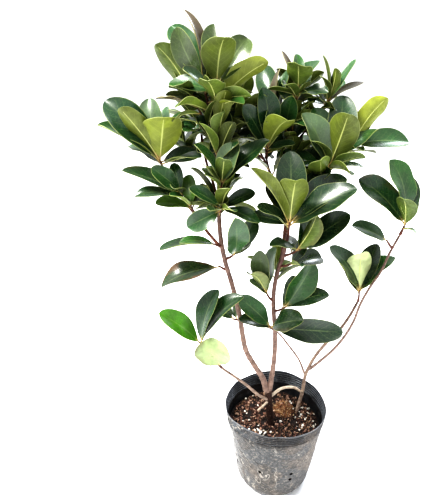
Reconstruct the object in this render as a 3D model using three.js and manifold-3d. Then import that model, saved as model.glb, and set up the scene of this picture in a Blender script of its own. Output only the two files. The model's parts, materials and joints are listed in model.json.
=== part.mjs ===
// Indian hawthorn in a soft nursery pot. Millimetres, +Z up.
// The origin is the centre of the pot's flat underside.
import * as THREE from 'three';
import { mergeVertices } from 'three/addons/utils/BufferGeometryUtils.js';
import Module from 'manifold-3d';

const wasm = await Module();
wasm.setup();

// ---------------------------------------------------------------- driving dimensions

const GAP = 0.3; // clearance between pieces that touch

const POT = {
  rimRadius: 65,
  footRadius: 46, // where the straight wall would meet the floor
  height: 122,
  wall: 1.2,
  footRounding: 18,
  sides: 32,
  frontDent: 6, // how far the soft front wall is pushed in at the rim
  waves: { count: 3, depth: 0.8 }, // slight waves round the rest of the rim
};

const DRAIN = {
  radius: 2.3,
  upper: { count: 8, height: 51, first: -70 },
  lower: { count: 4, height: 40, first: -70 },
};

const SOIL = {
  belowRim: 30,
  rings: 5,
  ripple: 1.6,
  clump: { x: 18, y: 26, radius: 15, height: 10 },
};

const LEAF = {
  growth: 1, // multiplies every leaf's length and width
  petioleRadius: 0.8,
  upperSkin: 0.5, // midrib height above and below the leaf's middle surface
  lowerSkin: 0.9,
  fold: 0.24, // rise of the blade's edge for each millimetre of half width
  bow: 0.07, // how far the midrib arches, as a share of its length
  petioleShare: 0.1,
  towardsLight: 0.6, // how strongly an upper side turns to the sky, against the twig's direction
  stations: [0, 0.12, 0.38, 0.66, 0.9, 1],
};

const TWIG = { radius: 1.3, taper: 0.8, sides: 6, bud: 0.8 };
const STEM_SIDES = 8;
const STEM_STEP = 26; // length of a stem's facets

// ---------------------------------------------------------------- solids

const soilLevel = POT.height - SOIL.belowRim;
const vec = (point) => new THREE.Vector3(...point);
const radians = THREE.MathUtils.degToRad;

/** A closed geometry as a solid, with its faces turned outwards. */
function toSolid(geometry) {
  const bare = geometry.clone();
  bare.deleteAttribute('normal');
  bare.deleteAttribute('uv');
  const merged = mergeVertices(bare, 1e-4);
  const index = merged.index.array;
  const triVerts = [];
  for (let i = 0; i < index.length; i += 3) {
    const [a, b, c] = [index[i], index[i + 1], index[i + 2]];
    if (a !== b && b !== c && c !== a) triVerts.push(a, b, c);
  }
  const vertProperties = new Float32Array(merged.attributes.position.array);
  const make = (tris) =>
    new wasm.Manifold(new wasm.Mesh({ numProp: 3, vertProperties, triVerts: new Uint32Array(tris) }));
  const solid = make(triVerts);
  return solid.volume() > 0 ? solid : make(triVerts.reverse());
}

/** The main body of a solid, without the slivers that a cut leaves behind. */
function mainBody(solid) {
  return solid.decompose().sort((a, b) => b.volume() - a.volume())[0];
}

/** A solid as a geometry for a mesh. */
function toGeometry(solid) {
  const { vertProperties, triVerts } = solid.getMesh();
  const geometry = new THREE.BufferGeometry();
  geometry.setAttribute('position', new THREE.BufferAttribute(new Float32Array(vertProperties), 3));
  geometry.setIndex(new THREE.BufferAttribute(new Uint32Array(triVerts), 1));
  geometry.computeVertexNormals();
  return geometry;
}

/** Moves every vertex of a geometry to the point that place() gives for it. */
function reshape(geometry, place) {
  const position = geometry.attributes.position;
  const point = new THREE.Vector3();
  for (let i = 0; i < position.count; i += 1) {
    point.fromBufferAttribute(position, i);
    place(point);
    position.setXYZ(i, point.x, point.y, point.z);
  }
  return geometry;
}

/** A tapering round tube along a curve, with a blunt point at its far end. */
function tube(curve, startRadius, endRadius, sides, steps) {
  const geometry = new THREE.CylinderGeometry(1, 1, 1, sides, steps);
  const frames = curve.computeFrenetFrames(steps);
  return toSolid(
    reshape(geometry, (p) => {
      const along = p.y + 0.5;
      const step = Math.round(along * steps);
      const radius = THREE.MathUtils.lerp(startRadius, endRadius, along);
      const isBudPoint = step === steps && Math.hypot(p.x, p.z) < 0.5;
      const centre = curve.getPointAt(along);
      if (isBudPoint) centre.addScaledVector(frames.tangents[step], TWIG.bud * endRadius);
      const { x, z } = p;
      p.copy(centre)
        .addScaledVector(frames.binormals[step], x * radius)
        .addScaledVector(frames.normals[step], z * radius);
    }),
  );
}

// ---------------------------------------------------------------- pot and soil

const wallSlope = Math.atan2(POT.rimRadius - POT.footRadius, POT.height);

/** Radius of the pot's wall at a height, set in from the outside by an inset. */
function wallRadius(height, inset) {
  return POT.footRadius + height * Math.tan(wallSlope) - inset / Math.cos(wallSlope);
}

/** Outline of a tub from the middle of its floor to the top of its wall. */
function tubOutline(inset, top) {
  const rounding = POT.footRounding - inset;
  const shoulder = (1 - Math.sin(wallSlope)) / Math.cos(wallSlope);
  const centreX = POT.footRadius - POT.footRounding * shoulder;
  const points = [new THREE.Vector2(0, inset)];
  const arcSteps = 4;
  for (let i = 0; i <= arcSteps; i += 1) {
    const angle = THREE.MathUtils.lerp(-Math.PI / 2, -wallSlope, i / arcSteps);
    const x = centreX + rounding * Math.cos(angle);
    points.push(new THREE.Vector2(x, POT.footRounding + rounding * Math.sin(angle)));
  }
  const wallSteps = 2;
  for (let i = 1; i <= wallSteps; i += 1) {
    const height = THREE.MathUtils.lerp(points[arcSteps + 1].y, top, i / wallSteps);
    points.push(new THREE.Vector2(wallRadius(height, inset), height));
  }
  return points;
}

/** Pushes a point of the soft wall inwards: a broad dent at the front, slight waves elsewhere. */
function dentWall(point) {
  const radius = Math.hypot(point.x, point.y);
  if (radius < 1) return;
  const angle = Math.atan2(point.y, point.x);
  const front = Math.max(0, Math.cos(angle + Math.PI / 2)) ** 3;
  const wave = POT.waves.depth * (1 + Math.sin(POT.waves.count * angle + 1));
  const reach = Math.max(0, point.z / POT.height) * Math.min(1, radius / (0.7 * POT.footRadius));
  const inset = (POT.frontDent * front + wave) * reach;
  point.multiply(new THREE.Vector3(1 - inset / radius, 1 - inset / radius, 1));
}

function lathe(points) {
  return new THREE.LatheGeometry(points, POT.sides).rotateX(Math.PI / 2);
}

function drainHole(height, bearing) {
  const length = 5 * POT.wall + 2 * POT.frontDent;
  const hole = new THREE.CylinderGeometry(DRAIN.radius, DRAIN.radius, length, 8);
  hole.rotateZ(Math.PI / 2);
  hole.translate(wallRadius(height, POT.wall / 2), 0, height);
  hole.rotateZ(radians(bearing));
  return toSolid(hole);
}

function potSolid() {
  const outside = tubOutline(0, POT.height);
  const inside = tubOutline(POT.wall, POT.height).reverse();
  let pot = toSolid(reshape(lathe([...outside, ...inside]), dentWall));
  for (const row of [DRAIN.upper, DRAIN.lower]) {
    for (let i = 0; i < row.count; i += 1) {
      pot = pot.subtract(drainHole(row.height, row.first + (360 * i) / row.count));
    }
  }
  return pot;
}

/** Height of the soil's uneven surface above its level. */
function soilRelief(x, y) {
  const { clump, ripple } = SOIL;
  const away = Math.hypot(x - clump.x, y - clump.y) / clump.radius;
  const mound = away < 1 ? clump.height * Math.cos((away * Math.PI) / 2) : 0;
  return mound + ripple * (Math.sin(x / 7 + 1) + Math.sin(y / 9 + x / 15));
}

function soilSolid() {
  const outline = tubOutline(POT.wall + GAP, soilLevel);
  const edge = outline.at(-1).x;
  for (let i = SOIL.rings - 1; i >= 0; i -= 1) {
    outline.push(new THREE.Vector2((edge * i) / SOIL.rings, soilLevel));
  }
  return toSolid(
    reshape(lathe(outline), (p) => {
      const isTop = p.z > soilLevel - 1e-3;
      dentWall(p);
      const inner = 1 - Math.min(1, Math.hypot(p.x, p.y) / (edge - POT.frontDent));
      if (isTop && inner > 0) p.z += soilRelief(p.x, p.y);
    }),
  );
}

// ---------------------------------------------------------------- stems

// Each stem's points are in mm, with heights above the soil's level.
// joins lists the earlier stems that it grows from or meets.
const STEMS = [
  {
    name: 'trunk', radius: [5, 4.2], joins: [],
    points: [[-5, -4, -25], [-6, -4, 0], [-9, -4, 31], [-11, -4, 56]],
  },
  {
    name: 'left_stem', radius: [3.5, 1.8], joins: ['trunk'],
    points: [
      [-12, -4, 50], [-18, -5, 72], [-41, -10, 120], [-49, -15, 168], [-58, -20, 211],
      [-68, -23, 250], [-73, -25, 285], [-73, -25, 320], [-75, -18, 365], [-76, -15, 395],
    ],
  },
  {
    name: 'centre_stem', radius: [3.2, 2], joins: ['trunk', 'left_stem'],
    points: [
      [-10, -4, 50], [-8, -4, 74], [-6, -6, 112], [-8, -8, 153], [-12, -13, 190],
      [-11, -17, 222], [-6, -21, 247], [-3, -30, 278],
    ],
  },
  {
    name: 'centre_back_stem', radius: [2.4, 1.5], joins: ['centre_stem'],
    points: [[-6, -20, 245], [-3, -8, 263], [0, 5, 287], [3, 16, 322], [2, 22, 356], [4, 21, 396]],
  },
  {
    name: 'right_crown_stem', radius: [1.7, 1.4], joins: ['centre_back_stem'],
    points: [[2, 9, 299], [20, 2, 315], [33, -1, 330]],
  },
  {
    name: 'brown_twig', radius: [1.4, 1.1], joins: ['centre_back_stem'],
    points: [[1, 11, 304], [-9, 8, 319], [-19, 6, 332], [-25, 3, 350]],
  },
  {
    name: 'rosette_twig', radius: [1.3, 1], joins: ['centre_back_stem'],
    points: [[2, 22, 355], [17, 26, 373], [29, 26, 390]],
  },
  {
    name: 'left_side_branch', radius: [1.7, 1.2], joins: ['left_stem'],
    points: [
      [-70, -24, 260], [-83, -18, 273], [-98, -11, 293], [-110, -6, 306], [-119, -4, 321],
      [-128, -5, 336],
    ],
  },
  {
    name: 'right_stem', radius: [2.5, 1.6], joins: [],
    points: [
      [31, 20, -18], [32, 20, 0], [37, 20, 29], [41, 22, 64], [56, 24, 96], [81, 26, 129],
      [96, 24, 168],
    ],
  },
  {
    name: 'right_outer_stem', radius: [1.8, 1.3], joins: ['right_stem'],
    points: [
      [41, 22, 64], [52, 17, 80], [68, 14, 101], [86, 10, 138], [96, 5, 186], [109, 2, 217],
      [119, -2, 258], [123, -3, 268],
    ],
  },
  {
    name: 'cross_twig', radius: [1.4, 1], joins: ['right_stem'],
    points: [[40, 21, 56], [31, 30, 76], [22, 34, 88], [1, 38, 114], [-21, 34, 127], [-40, 29, 136]],
  },
  {
    name: 'low_left_twig', radius: [1.9, 1.3], joins: ['trunk'],
    points: [[-9, -4, 38], [-21, -13, 52], [-34, -18, 69], [-49, -23, 87], [-72, -34, 115], [-86, -39, 138]],
  },
  {
    name: 'arching_twig', radius: [1.9, 1.7], joins: ['trunk', 'right_stem'],
    points: [[-9, -4, 44], [0, 0, 50], [13, 6, 51], [25, 12, 45], [34.5, 18, 34]],
  },
  {
    name: 'broken_stub', radius: [1.5, 1.3], joins: ['trunk'],
    points: [[-9, -5, 40], [-17, -11, 36], [-24, -15, 32]],
  },
  {
    name: 'left_back_branch', radius: [1.6, 1.2], joins: ['left_stem'],
    points: [[-73, -25, 309], [-80, 0, 326], [-88, 28, 343], [-92, 48, 356]],
  },
  {
    name: 'centre_back_branch', radius: [1.6, 1.2], joins: ['centre_back_stem'],
    points: [[0, 3, 283], [-10, 30, 310], [-24, 55, 338], [-32, 68, 352]],
  },
  {
    name: 'right_back_branch', radius: [1.6, 1.2], joins: ['centre_back_stem'],
    points: [[-1, 0, 275], [14, 22, 296], [28, 44, 314], [33, 54, 330]],
  },
];

function stemCurve(points) {
  return new THREE.CatmullRomCurve3(points.map((p) => vec(p).setZ(p[2] + soilLevel)));
}

function stemSolid(stem, extra) {
  const curve = stemCurve(stem.points);
  const steps = Math.max(3, Math.round(curve.getLength() / STEM_STEP));
  const [start, end] = stem.radius;
  return tube(curve, start + extra, end + extra, STEM_SIDES, steps);
}

// ---------------------------------------------------------------- leafy shoots

// Each shoot is a young twig from base to tip, growing from the named stem.
// A leaf is [place along the twig, bearing, rise, length, width, turn]: bearing is its heading
// in plan, 0 towards +X and 90 towards +Y, rise is its slope above level, turn rolls it about its
// midrib, and the angles are in degrees.
// whorl [count, length, first bearing] adds leaves spiralling up to the twig's tip.
const SHOOTS = [
  {
    name: 'centre_front_shoot', stem: 'centre_stem', base: [-3, -29, 275], tip: [-3, -37, 294],
    leaves: [
      [1, 92, 75, 72, 30, 0], [1, 268, 65, 60, 29, 0], [0.9, 186, 55, 72, 30, 0],
      [0.7, 202, 37, 46, 19, 0], [1, 12, 40, 72, 30, 20], [0.8, 350, 34, 76, 32, 20],
      [0.8, 125, 50, 52, 22, 0], [0.9, 45, 48, 62, 26, 0],
    ],
  },
  {
    name: 'centre_right_shoot', stem: 'centre_stem', base: [-6, -21, 248], tip: [10, -30, 262],
    leaves: [[1, 343, 43, 64, 27, 35], [0.8, 309, 56, 56, 24, 0], [0.9, 54, 64, 48, 20, 0]],
  },
  {
    name: 'crown_tip_shoot', stem: 'left_stem', base: [-76, -15, 388], tip: [-76, -17, 424],
    leaves: [
      [1, 285, 63, 50, 32, 0], [0.95, 31, 65, 55, 23, 0], [0.9, 95, 66, 62, 26, 0],
      [0.55, 355, 39, 60, 25, 0], [0.45, 313, 15, 37, 16, 0], [0.6, 258, 31, 42, 24, 0],
      [0.7, 61, 37, 48, 20, 0],
    ],
  },
  {
    name: 'crown_left_shoot', stem: 'left_stem', base: [-75, -18, 374], tip: [-89, -3, 424],
    leaves: [
      [1, 137, 73, 69, 17, 0], [1, 199, 63, 55, 23, 0], [0.95, 155, 60, 64, 27, 0],
      [0.85, 132, 31, 41, 17, 0], [0.8, 100, 49, 54, 23, 0], [0.5, 222, 16, 44, 19, 0],
    ],
  },
  {
    name: 'crown_far_left_shoot', stem: 'left_stem', base: [-75, -19, 362], tip: [-98, -4, 412],
    leaves: [
      [1, 173, 55, 59, 25, 0], [1, 235, 21, 32, 22, 0], [0.8, 177, 12, 42, 10, 0],
      [0.9, 132, 45, 52, 22, 0], [0.7, 219, -2, 35, 12, 0], [0.5, 150, 0, 36, 15, 0],
    ],
  },
  {
    name: 'crown_right_shoot', stem: 'left_stem', base: [-74, -20, 352], tip: [-56, 28, 396],
    leaves: [
      [1, 109, 66, 32, 16, 0], [1, 47, 48, 34, 16, 0], [0.9, 77, 57, 56, 24, 0],
      [0.7, 28, 23, 36, 15, 0], [0.5, 300, 31, 37, 16, 0], [0.8, 334, 70, 49, 21, 0],
      [0.6, 350, 40, 50, 22, 0], [0.75, 20, 5, 48, 20, 0], [0.5, 60, -10, 46, 19, 0],
    ],
  },
  {
    name: 'top_centre_shoot', stem: 'centre_back_stem', base: [4, 21, 393], tip: [5, 16, 417],
    leaves: [
      [1, 258, 47, 34, 26, 0], [0.9, 31, 49, 38, 19, 0], [1, 96, 69, 34, 12, 0],
      [0.8, 150, 62, 43, 10, 0], [0.6, 237, 30, 36, 15, 0], [0.7, 68, 30, 40, 17, 0],
    ],
  },
  {
    name: 'centre_left_shoot', stem: 'centre_back_stem', base: [2, 23, 364], tip: [-15, 22, 391],
    leaves: [
      [0.35, 276, 65, 42, 17, 0], [1, 80, 82, 44, 15, 0], [1, 125, 63, 55, 23, 0],
      [0.9, 50, 68, 48, 16, 0], [0.8, 150, 36, 41, 17, 0],
    ],
  },
  {
    name: 'folded_leaf_shoot', stem: 'brown_twig', base: [-25, 3, 347], tip: [-25, 0, 363],
    leaves: [
      [1, 293, 43, 51, 27, 0], [0.85, 215, 32, 29, 14, 0], [1, 159, 73, 58, 24, 0],
      [0.9, 138, 60, 48, 16, 0], [0.8, 185, 58, 52, 22, 0], [0.9, 78, 50, 48, 20, 0],
    ],
  },
  {
    name: 'top_right_rosette', stem: 'rosette_twig', base: [28, 26, 388], tip: [38, 24, 404],
    leaves: [
      [1, 145, 76, 44, 15, 0], [1, 285, 72, 34, 12, 0], [1, 6, 63, 46, 19, 0],
      [0.85, 7, 30, 42, 10, 0], [0.9, 234, 59, 34, 12, 0], [0.8, 132, 23, 24, 12, 0],
      [0.9, 55, 35, 38, 16, 0],
    ],
  },
  {
    name: 'right_crown_shoot', stem: 'right_crown_stem', base: [31, -1, 328], tip: [39, -4, 344],
    leaves: [
      [1, 287, 66, 60, 31, 0], [1, 140, 80, 60, 25, 0], [0.9, 115, 66, 74, 31, 0],
      [0.8, 188, 64, 64, 27, 0], [0.9, 224, 50, 45, 19, 0], [1, 65, 66, 70, 29, 0],
      [0.7, 206, 15, 33, 11, 0], [0.8, 354, 6, 36, 12, 0], [0.95, 9, 37, 60, 25, 0],
    ],
  },
  {
    name: 'right_crown_side_shoot', stem: 'right_crown_stem', base: [26, 1, 323], tip: [65, 16, 364],
    leaves: [
      [1, 347, 59, 54, 23, 30], [0.95, 0, 2, 61, 26, 20], [0.75, 18, -6, 40, 17, 0],
      [0.9, 85, 64, 44, 18, 0], [0.8, 48, 35, 52, 22, 0],
    ],
  },
  {
    name: 'left_rosette', stem: 'left_stem', base: [-73, -25, 318], tip: [-71, -34, 335],
    leaves: [
      [1, 197, 57, 48, 20, 0], [1, 20, 80, 42, 24, 0], [1, 275, 50, 38, 16, 0],
      [0.9, 10, 41, 62, 26, 0], [0.7, 232, 36, 30, 12, 0],
    ],
  },
  {
    name: 'left_middle_shoot', stem: 'left_stem', base: [-73, -25, 298], tip: [-71, -35, 311],
    leaves: [
      [1, 290, 50, 35, 18, 0], [0.8, 184, 34, 38, 16, 0], [0.7, 20, 21, 39, 16, 0],
      [0.6, 193, -23, 38, 21, -40], [0.8, 336, -12, 42, 18, 0],
    ],
  },
  {
    name: 'left_behind_shoot', stem: 'left_stem', base: [-73, -25, 290], tip: [-76, -12, 306],
    leaves: [
      [1, 168, -14, 56, 24, -40], [1, 158, 62, 46, 16, 0], [0.8, 50, 30, 48, 20, 0],
      [0.9, 20, -16, 46, 19, 0], [0.7, 120, 10, 44, 18, 0],
    ],
  },
  {
    name: 'left_low_shoot', stem: 'left_stem', base: [-67, -23, 246], tip: [-58, -26, 254],
    leaves: [[1, 280, 64, 62, 25, 0], [0.8, 32, 50, 46, 19, 0], [0.7, 60, 10, 40, 17, 0]],
  },
  {
    name: 'left_drooping_leaves', stem: 'left_stem', base: [-70, -24, 262], tip: [-78, -30, 268],
    leaves: [[1, 178, -8, 58, 24, 0], [0.8, 196, 14, 40, 14, 0]],
  },
  {
    name: 'spotted_leaf', stem: 'left_stem', base: [-63, -21, 231], tip: [-72, -22, 238],
    leaves: [[1, 188, -14, 68, 29, -35]],
  },
  {
    name: 'left_cluster', stem: 'left_side_branch', base: [-127, -5, 334], tip: [-133, -8, 351],
    leaves: [
      [1, 176, 50, 78, 33, -40], [1, 205, 52, 68, 23, -20], [0.9, 186, 34, 70, 24, 0],
      [1, 127, 74, 62, 26, 0], [1, 80, 60, 57, 24, 0], [0.95, 293, 53, 58, 33, 0],
      [0.7, 150, 22, 46, 19, 0],
    ],
  },
  {
    name: 'left_low_cluster', stem: 'left_side_branch', base: [-110, -6, 306], tip: [-112, -17, 320],
    leaves: [
      [1, 196, 44, 40, 18, -25], [1, 121, 60, 32, 13, 0], [0.8, 178, 22, 64, 22, 0],
      [0.6, 200, 10, 50, 17, 0], [0.8, 248, 27, 32, 15, 0],
    ],
  },
  {
    name: 'left_fork_shoot', stem: 'left_side_branch', base: [-97, -11, 291], tip: [-102, -20, 306],
    leaves: [
      [1, 223, 36, 32, 15, 0], [0.8, 177, 8, 38, 16, 0], [0.95, 100, 54, 34, 16, 0],
      [0.8, 50, 31, 34, 15, 0],
    ],
  },
  {
    name: 'right_end_shoot', stem: 'right_outer_stem', base: [122, -3, 265], tip: [125, -6, 280],
    leaves: [
      [1, 171, 44, 72, 30, -35], [1, 164, 74, 74, 31, -20], [1, 83, 72, 52, 22, 0],
      [0.95, 240, 49, 52, 22, 0], [0.9, 50, 55, 34, 14, 0], [0.7, 290, 10, 20, 6, 0],
    ],
  },
  {
    name: 'right_end_leaf', stem: 'right_outer_stem', base: [117, -1, 250], tip: [108, -8, 262],
    leaves: [[1, 195, 26, 50, 21, -25]],
  },
  {
    name: 'right_middle_shoot', stem: 'right_stem', base: [96, 24, 165], tip: [94, 18, 184],
    leaves: [
      [1, 186, 57, 74, 31, -20], [0.85, 215, 55, 66, 28, 0], [1, 56, 74, 61, 26, 0],
      [1, 4, 62, 59, 25, 0], [1, 256, 64, 60, 24, 0], [0.8, 118, 43, 44, 18, 0],
    ],
  },
  {
    name: 'low_centre_top_leaves', stem: 'centre_stem', base: [-8, -20, 236], tip: [4, -27, 244],
    leaves: [[1, 28, -3, 40, 21, 0], [0.9, 295, 20, 22, 12, 0], [0.9, 48, 46, 32, 14, 0]],
  },
  {
    name: 'low_centre_right_leaves', stem: 'centre_stem', base: [-10, -11, 174], tip: [0, -18, 184],
    leaves: [[1, 10, 61, 62, 29, 0], [0.95, 348, 32, 54, 23, 0], [0.8, 60, 38, 42, 18, 0]],
  },
  {
    name: 'low_centre_left_leaves', stem: 'centre_stem', base: [-12, -13, 187], tip: [-21, -19, 204],
    leaves: [
      [1, 170, 80, 52, 22, 0], [0.7, 191, 46, 32, 13, 0], [1, 235, 58, 48, 20, 0],
      [0.8, 115, 50, 42, 18, 0], [0.9, 202, 60, 56, 24, 0],
    ],
  },
  {
    name: 'low_centre_base_leaves', stem: 'centre_stem', base: [-8, -8, 148], tip: [-14, -17, 158],
    leaves: [
      [1, 325, 31, 46, 29, 0], [0.9, 350, 2, 80, 34, 35], [0.9, 172, 46, 55, 23, 0],
      [0.8, 190, 25, 42, 18, 0],
    ],
  },
  {
    name: 'low_left_tip_leaves', stem: 'low_left_twig', base: [-85, -39, 136], tip: [-94, -42, 153],
    leaves: [[1, 190, 45, 62, 26, -25], [0.9, 40, 70, 66, 28, 0], [1, 8, 53, 74, 31, 0]],
  },
  {
    name: 'pale_leaf', stem: 'low_left_twig', base: [-70, -33, 112], tip: [-72, -41, 121],
    leaves: [[1, 80, 80, 44, 36, 0]],
  },
  {
    name: 'cross_twig_leaves', stem: 'cross_twig', base: [-38, 30, 134], tip: [-54, 25, 141],
    leaves: [[1, 160, 30, 34, 14, 0], [0.8, 100, 40, 30, 13, 0], [0.6, 330, 20, 24, 12, 0]],
  },
  {
    name: 'back_shoot_top_left', stem: 'left_stem', base: [-75, -18, 368], tip: [-82, 22, 402],
    whorl: [7, 54, 60],
  },
  {
    name: 'back_shoot_left', stem: 'left_back_branch', base: [-91, 45, 354], tip: [-94, 58, 373],
    whorl: [7, 56, 20],
  },
  {
    name: 'back_shoot_inner_left', stem: 'left_back_branch', base: [-80, 0, 326], tip: [-64, 22, 350],
    whorl: [7, 52, 100],
  },
  {
    name: 'back_shoot_outer_left', stem: 'left_back_branch', base: [-88, 27, 342], tip: [-110, 42, 350],
    whorl: [5, 52, 40],
  },
  {
    name: 'back_shoot_centre', stem: 'centre_back_branch', base: [-31, 66, 350], tip: [-36, 82, 367],
    whorl: [7, 58, 75],
  },
  {
    name: 'back_shoot_centre_left', stem: 'centre_back_branch', base: [-23, 53, 336],
    tip: [-50, 54, 354], whorl: [7, 54, 130],
  },
  {
    name: 'back_shoot_top_centre', stem: 'centre_back_stem', base: [2, 22, 376], tip: [9, 52, 402],
    whorl: [6, 52, 10],
  },
  {
    name: 'back_shoot_right', stem: 'right_back_branch', base: [32, 52, 327], tip: [38, 64, 346],
    whorl: [7, 58, 50],
  },
  {
    name: 'back_shoot_inner_right', stem: 'right_back_branch', base: [27, 42, 312],
    tip: [14, 64, 320], whorl: [5, 52, 90],
  },
  {
    name: 'back_shoot_low', stem: 'centre_stem', base: [-12, -15, 200], tip: [-8, 10, 214],
    whorl: [4, 46, 30],
  },
];

const WHORL = {
  turn: 137.5, // degrees from one leaf of a spiral to the next
  width: 0.42, // a leaf's width as a share of its length
  firstPlace: 0.6, // place of the lowest leaf along the twig
  rise: [14, 68], // slopes of the lowest and the topmost leaf
  shortest: 0.75, // length of the topmost leaf, as a share of the lowest one's
};

/** Leaves spiralling up a twig: low and spreading at the bottom, short and upright at its tip. */
function whorlLeaves([count, length, firstBearing]) {
  return Array.from({ length: count }, (_, i) => {
    const up = i / (count - 1);
    const size = length * THREE.MathUtils.lerp(1, WHORL.shortest, up);
    const rise = THREE.MathUtils.lerp(...WHORL.rise, up);
    const place = THREE.MathUtils.lerp(WHORL.firstPlace, 1, up);
    return [place, firstBearing + WHORL.turn * i, rise, size, WHORL.width * size, 0];
  });
}

/** Half the width of a blade at a place along its midrib, as a share of the widest. */
function bladeShape(along) {
  const u = Math.max(0, (along - LEAF.petioleShare) / (1 - LEAF.petioleShare));
  const shape = u ** 0.9 * (1 - u) ** 0.45;
  const widest = (2 / 3) ** 0.9 * (1 / 3) ** 0.45;
  return shape / widest;
}

/** A leaf's solid. from leaves out its lowest part, extra thickens it all round. */
function leafSolid(leaf, from, extra) {
  const { root, heading, face, length, width } = leaf;
  const tip = root.clone().addScaledVector(heading, length);
  const crest = root.clone().lerp(tip, 0.5).addScaledVector(face, 2 * LEAF.bow * length);
  const midrib = new THREE.QuadraticBezierCurve3(root, crest, tip);
  const rows = LEAF.stations.length - 1;
  const across = new THREE.Vector3().crossVectors(heading, face);
  const geometry = new THREE.SphereGeometry(1, 4, rows);
  return toSolid(
    reshape(geometry, (p) => {
      const row = Math.round((Math.acos(THREE.MathUtils.clamp(p.y, -1, 1)) / Math.PI) * rows);
      const along = THREE.MathUtils.lerp(from, 1, LEAF.stations[rows - row]);
      const isPole = row === 0 || row === rows;
      const tangent = midrib.getTangent(along);
      const up = new THREE.Vector3().crossVectors(across, tangent);
      const half = Math.max(LEAF.petioleRadius, (width / 2) * bladeShape(along)) + extra;
      const sideways = isPole ? 0 : Math.round(p.x / Math.sin((row * Math.PI) / rows));
      const upwards = isPole ? 0 : Math.round(p.z / Math.sin((row * Math.PI) / rows));
      const skin = (upwards > 0 ? LEAF.upperSkin : LEAF.lowerSkin) + extra;
      const lift = sideways === 0 ? upwards * skin : LEAF.fold * half;
      p.copy(midrib.getPoint(along)).addScaledVector(across, sideways * half).addScaledVector(up, lift);
    }),
  );
}

/** A leaf's place: its root, its heading and the way its upper side faces. */
function leafPlace([along, bearing, rise, length, width, turn], twig) {
  const plan = new THREE.Vector3(Math.cos(radians(bearing)), Math.sin(radians(bearing)), 0);
  const heading = plan.multiplyScalar(Math.cos(radians(rise))).setZ(Math.sin(radians(rise)));
  const axis = twig.tip.clone().sub(twig.base).normalize();
  axis.z += LEAF.towardsLight;
  const face = axis.addScaledVector(heading, -axis.dot(heading)).normalize();
  face.applyAxisAngle(heading, radians(turn));
  return {
    root: twig.base.clone().lerp(twig.tip, along),
    heading,
    face,
    length: length * LEAF.growth,
    width: width * LEAF.growth,
  };
}

// ---------------------------------------------------------------- keeping leaves apart

const NUDGE = {
  lengths: [1, 0.9, 0.8, 0.7, 0.6], // shares of the leaf's own length, tried in turn
  reaches: [6, 12, 18, 25, 33, 42, 54], // degrees turned aside at each length
  ways: 8, // directions tried at each reach
  riseShare: 0.7, // a leaf turns less in its rise than in its bearing
};

/** The nudges that a crowded leaf tries, nearest first: [bearing, rise, length share]. */
function nudges() {
  const list = [[0, 0, 1]];
  for (const share of NUDGE.lengths) {
    for (const reach of NUDGE.reaches) {
      for (let i = 0; i < NUDGE.ways; i += 1) {
        const way = (2 * Math.PI * i) / NUDGE.ways;
        list.push([reach * Math.cos(way), NUDGE.riseShare * reach * Math.sin(way), share]);
      }
    }
  }
  return list;
}

function boxOf(solid) {
  const { min, max } = solid.boundingBox();
  return new THREE.Box3(new THREE.Vector3(...min), new THREE.Vector3(...max));
}

const withBox = (solid) => ({ solid, box: boxOf(solid) });

function overlap(one, other) {
  return one.box.intersectsBox(other.box) ? one.solid.intersect(other.solid).volume() : 0;
}

const CLEAR = 0.01; // overlap in cubic millimetres that still counts as none
const OUTER_FROM = 0.3; // where a leaf's outer part starts, clear of its neighbours on the twig

/** Grows a leaf where it is clear of everything else, turning it aside if need be. */
function growLeaf(leaf, twig, others, siblings, ownParts) {
  const [along, bearing, rise, length, width, turn] = leaf;
  let best = { clash: Infinity };
  for (const [byBearing, byRise, share] of nudges()) {
    const tried = [along, bearing + byBearing, rise + byRise, length * share, width * share, turn];
    const place = leafPlace(tried, twig);
    const whole = withBox(leafSolid(place, 0, GAP));
    const outer = withBox(leafSolid(place, OUTER_FROM, GAP));
    let clash = 0;
    for (const other of others) clash += overlap(whole, other);
    for (const part of ownParts) clash += overlap(outer, part);
    for (const sibling of siblings) {
      clash += overlap(outer, sibling.whole) + overlap(whole, sibling.outer);
    }
    if (clash < best.clash) best = { clash, place };
    if (clash < CLEAR) break;
  }
  const whole = withBox(leafSolid(best.place, 0, 0));
  const outer = withBox(leafSolid(best.place, OUTER_FROM, 0));
  return { whole, outer, clash: best.clash };
}

// ---------------------------------------------------------------- the plant

const plant = new THREE.Group();

function addPiece(name, solid, colour, roughness) {
  const material = new THREE.MeshStandardMaterial({ color: colour, roughness, metalness: 0 });
  const mesh = new THREE.Mesh(toGeometry(solid), material);
  mesh.name = name;
  plant.add(mesh);
}

const stems = new Map();
for (const stem of STEMS) {
  let solid = stemSolid(stem, 0);
  for (const name of stem.joins) solid = solid.subtract(stems.get(name).fat);
  stems.set(stem.name, { solid: mainBody(solid), fat: stemSolid(stem, GAP) });
}

const pot = potSolid();
let soil = soilSolid();
for (const { fat } of stems.values()) soil = soil.subtract(fat);
addPiece('pot', pot, 0x2f3032, 0.55);
addPiece('soil', soil, 0x3a2a20, 0.95);
for (const [name, { solid }] of stems) addPiece(name, solid, 0xa5786a, 0.8);

const twigs = new Map();
for (const { name, base, tip } of SHOOTS) {
  const ends = [base, tip].map((p) => vec(p).setZ(p[2] + soilLevel));
  const curve = new THREE.LineCurve3(...ends);
  const solid = tube(curve, TWIG.radius, TWIG.radius * TWIG.taper, TWIG.sides, 2);
  twigs.set(name, { base: ends[0], tip: ends[1], part: withBox(solid) });
}

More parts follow.
